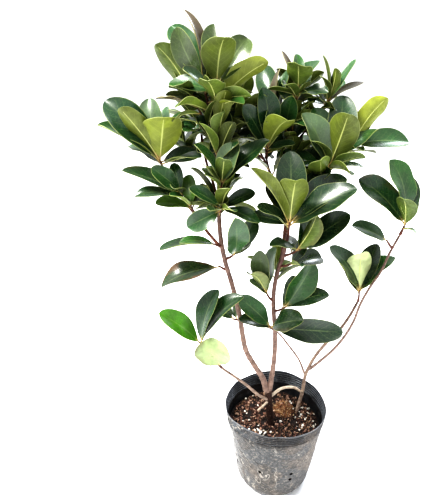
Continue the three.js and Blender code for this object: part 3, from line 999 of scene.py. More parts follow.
class StemAge(Enum):
    """How old a stem's bark is: its colour at the base and at the tip."""

    # near-black at the soil: partly the trunk's dark old bark, partly painted shade where the crown shades
    # its foot
    TRUNK = ("1f130f", "4a3026")
    LOWER = ("a1877a", "63403a")
    UPPER = ("7d4a3b", "54271f")
    BARE = ("f0dfc9", "e6cfb6")
    SIDE = ("ad9488", "6e544a")
    LIGHT_SIDE = ("cbb4a2", "705446")
    TWIG = ("6a3a2e", "5f3a26")

    def at(self, share: float) -> tuple[float, ...]:
        """Give the bark's colour some way along the stem."""
        return blend(colour(self.value[0]), colour(self.value[1]), share)


@dataclass(frozen=True)
class StemPlan:
    """One stem of the plant: what it grows from and how its bark looks."""

    parent: str | None
    age: StemAge
    meets: str | None = None


STEMS: dict[str, StemPlan] = {
    "trunk": StemPlan(None, StemAge.TRUNK),
    "left_stem": StemPlan("trunk", StemAge.LOWER),
    "centre_stem": StemPlan("trunk", StemAge.LOWER),
    "centre_back_stem": StemPlan("centre_stem", StemAge.UPPER),
    "right_crown_stem": StemPlan("centre_back_stem", StemAge.UPPER),
    "brown_twig": StemPlan("centre_back_stem", StemAge.UPPER),
    "rosette_twig": StemPlan("centre_back_stem", StemAge.UPPER),
    "left_side_branch": StemPlan("left_stem", StemAge.UPPER),
    "right_stem": StemPlan(None, StemAge.LIGHT_SIDE),
    "right_outer_stem": StemPlan("right_stem", StemAge.SIDE),
    "cross_twig": StemPlan("right_stem", StemAge.SIDE),
    "low_left_twig": StemPlan("trunk", StemAge.LIGHT_SIDE),
    "arching_twig": StemPlan("trunk", StemAge.BARE, meets="right_stem"),
    "broken_stub": StemPlan("trunk", StemAge.BARE),
    "left_back_branch": StemPlan("left_stem", StemAge.UPPER),
    "centre_back_branch": StemPlan("centre_back_stem", StemAge.UPPER),
    "right_back_branch": StemPlan("centre_back_stem", StemAge.UPPER),
}


@dataclass
class StemMaker:
    """Turns a centreline into a barked stem with nodes and a collar at its base."""

    bark: Material
    step: float = 2.2 * MM
    slim: float = 0.98
    node_gap: tuple[float, float] = (9 * MM, 17 * MM)
    node_swell: float = 0.13
    node_length: float = 1.3 * MM
    collar: float = 0.35
    collar_reach: float = 3.5  # in radii
    rough: float = 0.06
    rough_scale: float = 260.0
    blunt_rings: tuple[tuple[float, float], ...] = ((0.5, 0.8), (0.8, 0.4))  # how far out, how wide, in radii
    resolution: int = 4  # of the bevel, which makes 12 sides

    def profile(self, fine: Route, chance: random.Random, grows_from_stem: bool) -> list[float]:
        """Work out the radius along a stem, swollen at its nodes and at its base.

        Args:
            fine: The sampled centreline.
            chance: The stem's own source of chance.
            grows_from_stem: Whether the stem has a collar at its base.

        Returns:
            The radius at each point.
        """
        next_node = chance.uniform(*self.node_gap)
        nodes: list[float] = []
        total = len(fine.points) * self.step
        while next_node < total:
            nodes.append(next_node)
            next_node += chance.uniform(*self.node_gap)
        radii = []
        run, last = 0.0, fine.points[0]
        for point, radius in zip(fine.points, fine.radii):
            run += (point - last).length
            last = point
            swell = sum(math.exp(-(((run - node) / self.node_length) ** 2)) for node in nodes)
            collar = self.collar * math.exp(-run / (self.collar_reach * radius)) if grows_from_stem else 0.0
            rough = self.rough * noise.noise(point * self.rough_scale)
            radii.append(radius * (self.slim + self.node_swell * swell + collar + rough))
        return radii

    def build(
        self, name: str, route: Route, age: StemAge, grows_from_stem: bool = True, blunt: bool = True
    ) -> Piece:
        """Make a stem.

        Args:
            name: The stem's name.
            route: Its centreline.
            age: How its bark looks.
            grows_from_stem: Whether it has a collar at its base.
            blunt: Whether its tip is rounded off.

        Returns:
            The stem.
        """
        chance = random.Random(name)
        fine = route.sampled(self.step)
        radii = self.profile(fine, chance, grows_from_stem)
        points = list(fine.points)
        if blunt:
            way, end = (points[-1] - points[-2]).normalized(), radii[-1]
            points += [fine.points[-1] + way * push * end for push, _ in self.blunt_rings]
            radii += [end * share for _, share in self.blunt_rings]
        stem = Bench.tube(name, [(points, radii)], self.resolution)
        Bench.close(stem)
        drawn = Route(points, radii)
        tints = [age.at(self.share_along(drawn, vert.co)) for vert in stem.data.vertices]
        Bench.tint(stem.data, "bark_tint", tints)
        Bench.dress(stem, self.bark)
        return stem

    @staticmethod
    def share_along(route: Route, place: Vector) -> float:
        """Tell how far along a route a place is, from 0 to 1."""
        away = [(point - place).length_squared for point in route.points]
        return away.index(min(away)) / max(1, len(away) - 1)


# ------------------------------------------------------------------ leaves


class LeafTone(Enum):
    """The colours of a leaf's upper side and underside."""

    DARK = ("1f3f21", "586827")
    DEEP = ("16301a", "4b5823")
    MID = ("2e552a", "6f8031")
    FRESH = ("2e5824", "73822c")
    VIVID = ("458410", "8fa338")
    LIME = ("4a6a22", "6b7a2c")
    BRIGHT = ("5b7c2e", "8f9c3c")
    OLIVE = ("3a4b1d", "5d6a28")
    YOUNG = ("5f5648", "8a7658")
    PALE = ("94a268", "98a66c")
    CREAM = ("cdd79c", "d0d99f")
    SPOTTED = ("2a4024", "5c6c46")
    # painted reflection: a pale grey-green that stands in for the bright sky mirrored on a glossy leaf
    SAGE = ("55694a", "7a8456")

    def tints(self, chance: random.Random) -> tuple[tuple[float, ...], tuple[float, ...]]:
        """Give the two sides' colours, a little different for each leaf.

        Args:
            chance: The leaf's own source of chance.

        Returns:
            The upper and the under colour.
        """
        light = chance.uniform(0.82, 1.2)
        warm = chance.uniform(0.92, 1.1)
        upper, under = (
            (r * light * warm, g * light, b * light / warm, a) for r, g, b, a in map(colour, self.value)
        )
        return upper, under


def direction(bearing: float, rise: float) -> Vector:
    """Turn a bearing and a rise in degrees into a direction."""
    flat, up = math.radians(bearing), math.radians(rise)
    return Vector((math.cos(up) * math.cos(flat), math.cos(up) * math.sin(flat), math.sin(up)))


@dataclass(frozen=True)
class LeafMark:
    """A leaf that differs from its neighbours, named by the way it points."""

    bearing: float
    rise: float
    tone: LeafTone
    wear: float = 0.0
    turn: float = 0.0  # degrees about its own midrib
    wide: float = 1.0  # its width as a share of the frame's
    leans_to: tuple[float, float] | None = None  # another bearing and rise

    def moved(self, rib: Midrib) -> Midrib:
        """Turn, widen and lean a midrib as the mark says.

        Args:
            rib: The midrib in the frame.

        Returns:
            The moved midrib.
        """
        turn = Quaternion(rib.heading, math.radians(self.turn))
        if self.leans_to:
            turn = rib.heading.rotation_difference(direction(*self.leans_to)) @ turn
        crest, tip = (rib.root + turn @ (spot - rib.root) for spot in (rib.crest, rib.tip))
        return Midrib(rib.root, crest, tip, turn @ rib.face, rib.width * self.wide)


@dataclass(frozen=True)
class ShootPlan:
    """One leafy shoot: the stem that it grows from, its usual tones and its odd leaves."""

    stem: str
    tones: tuple[LeafTone, ...] = (LeafTone.DARK, LeafTone.DARK, LeafTone.MID, LeafTone.DEEP)
    marks: tuple[LeafMark, ...] = ()
    inner: int = 0  # small leaves among the frame's own
    lower: int = 0  # leaves on the stem just below the shoot


T = LeafTone
YOUNG_TOP = (T.MID, T.DARK, T.DARK, T.FRESH)
FRESHER = (T.MID, T.DARK)
MOSTLY_DARK = (T.DARK, T.MID)
DARKEST = (T.DARK, T.DEEP)
SHOOTS: dict[str, ShootPlan] = {
    "centre_front_shoot": ShootPlan(
        "centre_stem", DARKEST,
        (
            LeafMark(268, 65, T.LIME),
            LeafMark(186, 55, T.OLIVE, turn=40),
            LeafMark(346, 37, T.DEEP),
        ),
        inner=2, lower=1,
    ),
    "centre_right_shoot": ShootPlan("centre_stem", inner=2),
    "crown_tip_shoot": ShootPlan(
        "left_stem", YOUNG_TOP,
        (
            LeafMark(285, 63, T.OLIVE),
            LeafMark(95, 66, T.OLIVE),
            LeafMark(355, 39, T.BRIGHT, turn=-50),
            LeafMark(31, 52, T.OLIVE, turn=40, wide=1.15),
            LeafMark(61, 37, T.MID, turn=25),
        ),
        inner=3, lower=4,
    ),
    "crown_left_shoot": ShootPlan(
        "left_stem", YOUNG_TOP,
        (
            LeafMark(137, 73, T.YOUNG),
            LeafMark(199, 63, T.OLIVE, turn=195, wide=1.1),
            LeafMark(155, 43, T.MID, turn=-45, leans_to=(148, 56)),
        ),
        inner=5, lower=3,
    ),
    "crown_far_left_shoot": ShootPlan(
        "left_stem", YOUNG_TOP,
        (
            LeafMark(177, 12, T.YOUNG),
            LeafMark(173, 55, T.OLIVE, turn=55),
        ),
        inner=3,
    ),
    "crown_right_shoot": ShootPlan(
        "left_stem",
        marks=(
            LeafMark(28, 23, T.MID, turn=70),
            LeafMark(20, 5, T.DARK, turn=70),
        ),
        inner=7, lower=6,
    ),
    "top_centre_shoot": ShootPlan(
        "centre_back_stem", YOUNG_TOP,
        (
            LeafMark(150, 62, T.YOUNG),
        ),
        inner=5, lower=4,
    ),
    "centre_left_shoot": ShootPlan(
        "centre_back_stem", YOUNG_TOP,
        (
            LeafMark(80, 82, T.YOUNG),
            LeafMark(276, 65, T.MID, turn=110, wide=1.1),
        ),
        inner=6, lower=4,
    ),
    "folded_leaf_shoot": ShootPlan(
        "brown_twig", MOSTLY_DARK,
        (
            LeafMark(293, 43, T.BRIGHT, turn=-15),
            LeafMark(197, 58, T.DARK, turn=-50),
        ),
        inner=5, lower=3,
    ),
    "top_right_rosette": ShootPlan("rosette_twig", FRESHER, (LeafMark(7, 30, T.YOUNG),), inner=3, lower=2),
    "right_crown_shoot": ShootPlan(
        "right_crown_stem", FRESHER,
        (
            LeafMark(287, 66, T.OLIVE),
            LeafMark(188, 64, T.SAGE, turn=-50),
            LeafMark(140, 67, T.MID, turn=-35),
        ),
        inner=5, lower=4,
    ),
    "right_crown_side_shoot": ShootPlan(
        "right_crown_stem",
        marks=(
            LeafMark(0, 2, T.MID, turn=35),
            LeafMark(347, 59, T.BRIGHT, turn=-30),
        ),
        inner=5, lower=3,
    ),
    "left_rosette": ShootPlan(
        "left_stem", FRESHER,
        (
            LeafMark(197, 57, T.FRESH),
            LeafMark(7, 71, T.SAGE),
        ),
        inner=2, lower=2,
    ),
    "left_middle_shoot": ShootPlan("left_stem", FRESHER, inner=4),
    "left_behind_shoot": ShootPlan("left_stem", inner=4),
    "left_low_shoot": ShootPlan("left_stem", FRESHER, (LeafMark(272, 58, T.MID, turn=-100),)),
    "left_drooping_leaves": ShootPlan("left_stem", marks=(LeafMark(178, -8, T.DARK, turn=30),)),
    "spotted_leaf": ShootPlan("left_stem", (T.SPOTTED,), (LeafMark(188, -14, T.SPOTTED, wear=0.9, turn=14),)),
    "left_cluster": ShootPlan(
        "left_side_branch", FRESHER,
        (
            LeafMark(293, 53, T.BRIGHT, turn=-35, wide=1.15, leans_to=(287, 59)),
            LeafMark(223, 52, T.LIME, turn=50),
            LeafMark(127, 74, T.SAGE),
        ),
        inner=2,
    ),
    "left_low_cluster": ShootPlan("left_side_branch"),
    "left_fork_shoot": ShootPlan("left_side_branch", (T.MID, T.LIME)),
    "right_end_shoot": ShootPlan(
        "right_outer_stem", MOSTLY_DARK,
        (
            LeafMark(164, 74, T.FRESH),
            LeafMark(50, 55, T.FRESH),
        ),
    ),
    "right_end_leaf": ShootPlan("right_outer_stem", (T.DARK,)),
    "right_middle_shoot": ShootPlan(
        "right_stem", DARKEST,
        (
            LeafMark(215, 73, T.LIME, turn=60, wide=0.85, leans_to=(165, 62)),
            LeafMark(238, 76, T.CREAM, wear=0.1, turn=80, wide=1.25),
            LeafMark(4, 62, T.FRESH),
        ),
    ),
    "low_centre_top_leaves": ShootPlan("centre_stem"),
    "low_centre_right_leaves": ShootPlan("centre_stem"),
    "low_centre_left_leaves": ShootPlan("centre_stem", (T.SAGE, T.MID)),
    "low_centre_base_leaves": ShootPlan("centre_stem", MOSTLY_DARK, (LeafMark(350, 2, T.DEEP, wide=0.82),)),
    "low_left_tip_leaves": ShootPlan("low_left_twig", MOSTLY_DARK, (LeafMark(190, 45, T.VIVID),)),
    "pale_leaf": ShootPlan(
        "low_left_twig", (T.PALE,),
        (
            LeafMark(80, 80, T.PALE, wear=0.4, wide=1.15, leans_to=(212, 74)),
        ),
    ),
    "cross_twig_leaves": ShootPlan("cross_twig"),
    "back_shoot_top_left": ShootPlan("left_stem", inner=5, lower=3),
    "back_shoot_left": ShootPlan("left_back_branch", inner=4),
    "back_shoot_inner_left": ShootPlan("left_back_branch", inner=6),
    "back_shoot_outer_left": ShootPlan("left_back_branch", inner=3),
    "back_shoot_centre": ShootPlan("centre_back_branch", inner=6),
    "back_shoot_centre_left": ShootPlan("centre_back_branch", inner=6),
    "back_shoot_top_centre": ShootPlan("centre_back_stem", inner=5, lower=4),
    "back_shoot_right": ShootPlan("right_back_branch", inner=4),
    "back_shoot_inner_right": ShootPlan("right_back_branch", inner=5),
    "back_shoot_low": ShootPlan("centre_stem"),
}


@dataclass
class LeafMould:
    """A leaf's blade and rib, shaped once in flat form and wrapped along each midrib."""

    skins: tuple[Material, Material, Material]
    rows: int = 12
    columns: int = 6
    stalk: float = 0.07  # share of the length before the blade starts
    rounding: tuple[float, float] = (0.84, 0.6)  # of base and tip: the lower, the rounder
    least_half: float = 0.012
    tip_rows: float = 1.5  # above 1, the blade's rows crowd towards its tip
    stalk_radius: float = 0.9 * MM
    rib_end_radius: float = 0.22 * MM
    rib_sides: int = 6
    rib_rows: int = 8
    rib_reach: float = 0.93
    film: float = 0.45 * MM
    fold: float = 0.28
    cup: tuple[float, float] = (0.8, 1.7)
    curl: tuple[float, float] = (-0.04, 0.09)
    twist: tuple[float, float] = (-0.4, 0.4)
    wave_height: tuple[float, float] = (0.0, 0.075)  # as a share of the width
    wave_count: tuple[float, float] = (1.2, 2.4)
    blade: Mesh = field(init=False)
    rib: Mesh = field(init=False)

    def __post_init__(self) -> None:
        """Shape the two moulds."""
        self.blade = self.shape_blade()
        self.rib = self.shape_rib()

    def outline(self, along: float) -> float:
        """Give a blade's half width some way along it.

        Args:
            along: How far along the blade, 0 to 1.

        Returns:
            The half width, as a share of the whole width.
        """
        base, tip = self.rounding
        widest = base / (base + tip)
        shape = max(along, 0.0) ** base * max(1 - along, 0.0) ** tip
        return max(0.5 * shape / (widest**base * (1 - widest) ** tip), self.least_half)

    def shape_blade(self) -> Mesh:
        """Shape a flat blade of length and width 1 out of a grid.

        Returns:
            The blade's mesh, with its map named leaf_uv.
        """
        Bench.clear()
        bpy.ops.mesh.primitive_grid_add(
            x_subdivisions=self.columns, y_subdivisions=self.rows, size=1, location=(0, 0.5, 0)
        )
        piece = bpy.context.object
        Bench.settle(piece)
        Bench.edit(piece)
        for row in range(self.rows, -1, -1):
            even = row / self.rows
            along = 1 - (1 - even) ** self.tip_rows
            place = self.stalk + (1 - self.stalk) * along
            Bench.choose(piece, lambda co, row_y=even: abs(co.y - row_y) < 1e-5 and co.z < 0.5)
            bpy.ops.transform.resize(value=(2 * self.outline(along), 1, 1), center_override=(0, 0, 0))
            bpy.ops.transform.translate(value=(0, place - even, 1))
        bpy.ops.mesh.select_all(action="SELECT")
        bpy.ops.transform.translate(value=(0, 0, -1))
        bpy.ops.object.mode_set(mode="OBJECT")
        self.name_map(piece.data)
        return Bench.keep(piece)

    def shape_rib(self) -> Mesh:
        """Shape a tapering rib of length 1 out of a cylinder.

        Returns:
            The rib's mesh, whose x and z are in metres.
        """
        Bench.clear()
        bpy.ops.mesh.primitive_cylinder_add(
            vertices=self.rib_sides, radius=self.stalk_radius, depth=1, location=(0, 0.5, 0),
            rotation=(-math.pi / 2, 0, 0),
        )
        piece = bpy.context.object
        Bench.settle(piece)
        Bench.edit(piece, "FACE")
        for cut in range(1, self.rib_rows):
            bpy.ops.mesh.select_all(action="SELECT")
            bpy.ops.mesh.bisect(plane_co=(0, cut / self.rib_rows, 0), plane_no=(0, 1, 0))
        for row in range(self.rib_rows + 1):
            even = row / self.rib_rows
            radius = self.stalk_radius + (self.rib_end_radius - self.stalk_radius) * even**0.55
            share = radius / self.stalk_radius
            Bench.choose(piece, lambda co, row_y=even: abs(co.y - row_y) < 1e-4)
            bpy.ops.transform.resize(value=(share, 1, share), center_override=(0, even, 0))
            drop = (radius + 0.1 * MM) * ease(0.02, 0.2, even)
            bpy.ops.transform.translate(value=(0, even * (self.rib_reach - 1), -drop))
        bpy.ops.object.mode_set(mode="OBJECT")
        self.name_map(piece.data)
        for loop in piece.data.loops:
            x, y, _ = piece.data.vertices[loop.vertex_index].co
            piece.data.uv_layers["leaf_uv"].data[loop.index].uv = (0.5 + x, y)
        return Bench.keep(piece)

    @staticmethod
    def name_map(mesh: Mesh) -> None:
        """Give a mould's map its name and let it run along the leaf by true length.

        Args:
            mesh: The mould's mesh.
        """
        layer = mesh.uv_layers[0]
        layer.name = "leaf_uv"
        for loop in mesh.loops:
            layer.data[loop.index].uv.y = mesh.vertices[loop.vertex_index].co.y

    def grow(
        self, name: str, midrib: Midrib, tone: LeafTone, wear: float, chance: random.Random
    ) -> list[Piece]:
        """Wrap the moulds along a midrib.

        Args:
            name: The leaf's name.
            midrib: Where the leaf runs.
            tone: Its colours.
            wear: How hurt it is, 0 to 1.
            chance: Its own source of chance.

        Returns:
            The blade and the rib.
        """
        cup, curl, twist = (chance.uniform(*span) for span in (self.cup, self.curl, self.twist))
        wave, waves = chance.uniform(*self.wave_height), chance.uniform(*self.wave_count)
        start = chance.uniform(0, math.tau)
        upper, under = tone.tints(chance)
        made = []
        for label, mould in (("blade", self.blade), ("rib", self.rib)):
            mesh = mould.copy()
            flat = Bench.points(mould)
            along = flat[:, 1]
            base, lift, side = self.spine(midrib, along, curl)
            turn = twist * (along - 0.25)[:, None]
            right = side * np.cos(turn) + lift * np.sin(turn)
            above = lift * np.cos(turn) - side * np.sin(turn)
            off, rise = flat[:, 0], flat[:, 2]
            if label == "blade":
                shares = [self.outline((place - self.stalk) / (1 - self.stalk)) for place in along]
                half = np.array(shares) * midrib.width
                off = off * midrib.width
                share = np.abs(off) / half
                swing = np.sin(math.tau * waves * along + start + np.sign(off) * 0.9)
                rise = self.fold * cup * half * share**1.7
                rise += wave * midrib.width * swing * share**2 * np.minimum(1, half / (0.3 * midrib.width))
            Bench.reshape(mesh, base + right * off[:, None] + above * rise[:, None])
            worn = (wear, wear, wear, 1.0)
            for paint, tint in (("upper_tint", upper), ("under_tint", under), ("wear", worn)):
                Bench.tint(mesh, paint, tint)
            made.append(Bench.place(f"{name}_{label}", mesh))
        return made

    @staticmethod
    def spine(midrib: Midrib, along: np.ndarray, curl: float) -> tuple[np.ndarray, np.ndarray, np.ndarray]:
        """Read a midrib at many places.

        Args:
            midrib: The midrib.
            along: The places, 0 to 1.
            curl: How far the tip bends back, as a share of the length.

        Returns:
            The points, the upward direction at each, and the sideways direction of the whole.
        """
        root, crest, tip = (np.array(v) for v in (midrib.root, midrib.crest, midrib.tip))
        t = along[:, None]
        base = (1 - t) ** 2 * root + 2 * t * (1 - t) * crest + t**2 * tip
        tangent = 2 * (1 - t) * (crest - root) + 2 * t * (tip - crest)
        side = np.cross(tip - root, np.array(midrib.face))
        side /= np.linalg.norm(side)
        bent = np.clip((t - 0.55) / 0.45, 0, 1) ** 2
        lift = np.cross(side, tangent)
        lift /= np.linalg.norm(lift, axis=1)[:, None]
        return base - lift * bent * curl * midrib.length, lift, side

    def finish(self, piece: Piece) -> None:
        """Give the joined blades of a shoot their thickness and their two skins.

        Args:
            piece: The joined blades.
        """
        Bench.dress(piece, *self.skins[:2])
        Bench.apply(
            piece, "SOLIDIFY", thickness=self.film, offset=-1.0, material_offset=1, material_offset_rim=1
        )
        Bench.smooth(piece, 60)


@dataclass
class ShootMaker:
    """Builds a leafy shoot over its node."""

    reader: FrameReader
    mould: LeafMould
    stems: StemMaker
    routes: dict[str, Route]
    twig_radius: tuple[float, float] = (1.25 * MM, 0.95 * MM)
    bud_length: float = 3.0 * MM
    lower_gap: float = 11 * MM
    tries: int = 60  # directions tried for each small leaf
    least_leaves: int = 3  # a shoot with fewer gets no small ones
    lowest_tip: float = 160 * MM
    spiral: float = 137.5  # degrees from one leaf on a stem to the next
    tilt: float = 50.0  # how far an added leaf is turned at most, in degrees
    worn_share: float = 0.15
    wear: float = 0.25

    def build(self, name: str, plan: ShootPlan) -> Piece:
        """Make a shoot: its twig with a bud, and its leaves.

        Args:
            name: The shoot's node.
            plan: What it grows from and how it looks.

        Returns:
            The finished shoot.
        """
        chance = random.Random(name)
        midribs, rest = self.reader.leaves(name)
        midribs.sort(key=lambda rib: (round(rib.root.z, 5), rib.tip.x))
        foot, tip = self.twig_run(plan, midribs, rest)
        twig = self.twig(name, plan, foot, tip)
        blades, ribs = [], []
        marked = self.marked(midribs, plan)
        midribs += self.inner_leaves(plan.inner, midribs, foot, tip, chance)
        midribs += self.lower_leaves(plan, midribs, foot, chance)
        for i, midrib in enumerate(midribs):
            usual = (chance.choice(plan.tones), self.wear if chance.random() < self.worn_share else 0.0)
            tone, wear = marked.get(i, usual)
            blade, rib = self.mould.grow(f"{name}_{i}", midrib, tone, wear, chance)
            blades.append(blade)
            ribs.append(rib)
        sheet = Bench.join(blades, f"{name}_blades")
        self.mould.finish(sheet)
        stalks = Bench.join(ribs, f"{name}_ribs")
        Bench.dress(stalks, self.mould.skins[2])
        Bench.smooth(stalks, 60)
        shoot = Bench.join([sheet, stalks, twig], name + "_grown")
        log.info("%s has %d leaves", name, len(midribs))
        return shoot

    @staticmethod
    def marked(midribs: list[Midrib], plan: ShootPlan) -> dict[int, tuple[LeafTone, float]]:
        """Find the leaves that a plan marks.

        Args:
            midribs: The shoot's midribs.
            plan: The shoot's plan.

        Returns:
            The tone and wear of each marked leaf, by its number.
        """
        found = {}
        for mark in plan.marks:
            way = direction(mark.bearing, mark.rise)
            best = max(range(len(midribs)), key=lambda i: midribs[i].heading.dot(way))
            found[best] = (mark.tone, mark.wear)
            midribs[best] = mark.moved(midribs[best])
        return found

    def twig_run(self, plan: ShootPlan, midribs: list[Midrib], rest: list[Vector]) -> tuple[Vector, Vector]:
        """Find where a shoot's twig leaves its stem and where it ends.

        Args:
            plan: What the shoot grows from.
            midribs: Its leaves' midribs.
            rest: The vertices of its node that belong to no leaf.

        Returns:
            The twig's foot and its tip.
        """
        parent = self.routes[plan.stem]

        def clear(place: Vector) -> float:
            """Tell how far a place is from the parent's bark."""
            spot, radius = parent.nearest(place)
            return (place - spot).length - radius

        closest = min(clear(place) for place in rest)
        seat = [place for place in rest if clear(place) < closest + 0.5 * MM]
        foot = sum(seat, Vector()) / len(seat)
        return foot, max((rib.root for rib in midribs), key=lambda root: (root - foot).length)

    def twig(self, name: str, plan: ShootPlan, foot: Vector, tip: Vector) -> Piece:
        """Make the young twig that carries the leaves.

        Args:
            name: The shoot's node.
            plan: What it grows from.
            foot: Where it leaves its stem.
            tip: Where its last leaf grows.

        Returns:
            The twig.
        """
        start, end = self.twig_radius
        way = (tip - foot).normalized()
        inside = self.routes[plan.stem].nearest(foot)[0]
        points = [inside, foot.lerp(tip, 0.35), tip]
        points += [tip + way * self.bud_length * share for share in (0.45, 1)]
        radii = [start * 1.15, start, end, end * 1.05, end * 0.25]
        return self.stems.build(f"{name}_twig", Route(points, radii), StemAge.TWIG, blunt=False)

    def inner_leaves(
        self, count: int, midribs: list[Midrib], foot: Vector, tip: Vector, chance: random.Random
    ) -> list[Midrib]:
        """Place small leaves in the widest gaps between a shoot's leaves.

        Args:
            count: How many to place.
            midribs: The shoot's own leaves.
            foot: Where its twig leaves the stem.
            tip: Where its last leaf grows.
            chance: The shoot's source of chance.

        Returns:
            The small leaves' midribs.
        """
        if len(midribs) < self.least_leaves:
            return []
        taken = [rib.heading for rib in midribs]
        length, width = self.usual_size(midribs)
        axis = (tip - foot).normalized()
        placed = []
        for _ in range(count):
            widest, way = -1.0, axis
            for _ in range(self.tries):
                other = direction(chance.uniform(0, 360), chance.uniform(5, 78))
                gap = min(other.angle(heading) for heading in taken)
                if gap > widest and other.dot(axis) > -0.35:
                    widest, way = gap, other
            root = foot.lerp(tip, chance.uniform(0.35, 0.95))
            reach = length * chance.uniform(0.6, 0.95)
            end = root + way * reach
            if self.in_frame(end) and end.z >= self.lowest_tip:
                taken.append(way)
                turn = chance.uniform(-self.tilt, self.tilt)
                placed.append(self.simple_leaf(root, end, width * reach / length, turn))
        return placed

    @staticmethod
    def usual_size(midribs: list[Midrib]) -> tuple[float, float]:
        """Give the leaves' mean length and width."""
        count = len(midribs)
        return sum(rib.length for rib in midribs) / count, sum(rib.width for rib in midribs) / count

    @staticmethod
    def in_frame(place: Vector) -> bool:
        """Tell whether a place is inside the frame's box."""
        return all(low < value < high for low, value, high in zip(frame_box[0], place, frame_box[1]))

    @staticmethod
    def simple_leaf(root: Vector, end: Vector, width: float, turn: float) -> Midrib:
        """Lay a gently arching midrib.

        Args:
            root: Where the leaf grows.
            end: Where its tip is.
            width: Its width.
            turn: How far its upper side is turned from facing up, in degrees.

        Returns:
            The midrib.
        """
        run = end - root
        side = run.cross(Vector((0, 0, 1))).normalized()
        crest = root.lerp(end, 0.5) + Vector((0, 0, 0.1 * run.length))
        face = Quaternion(run.normalized(), math.radians(turn)) @ side.cross(run).normalized()
        return Midrib(root, crest, end, face, width)

    def lower_leaves(
        self, plan: ShootPlan, midribs: list[Midrib], foot: Vector, chance: random.Random
    ) -> list[Midrib]:
        """Place leaves spirally on the stem just below a shoot.

        Args:
            plan: What the shoot grows from.
            midribs: The shoot's own leaves.
            foot: Where its twig leaves the stem.
            chance: The shoot's source of chance.

        Returns:
            The leaves' midribs.
        """
        route = self.routes[plan.stem]
        length, width = self.usual_size(midribs)
        base = route.nearest(foot)[0]
        placed = []
        bearing = chance.uniform(0, 360)
        for i in range(plan.lower):
            bearing += self.spiral
            way = direction(bearing, chance.uniform(32, 72))
            spot, radius = route.nearest(base - Vector((0, 0, self.lower_gap * (i + 0.3))))
            root = spot + way * radius * 0.8
            end = root + way * length * chance.uniform(0.75, 1.0)
            if self.in_frame(end):
                across = width * chance.uniform(0.85, 1.05)
                placed.append(self.simple_leaf(root, end, across, chance.uniform(-self.tilt, self.tilt)))
        return placed


# ------------------------------------------------------------------ pot and soil


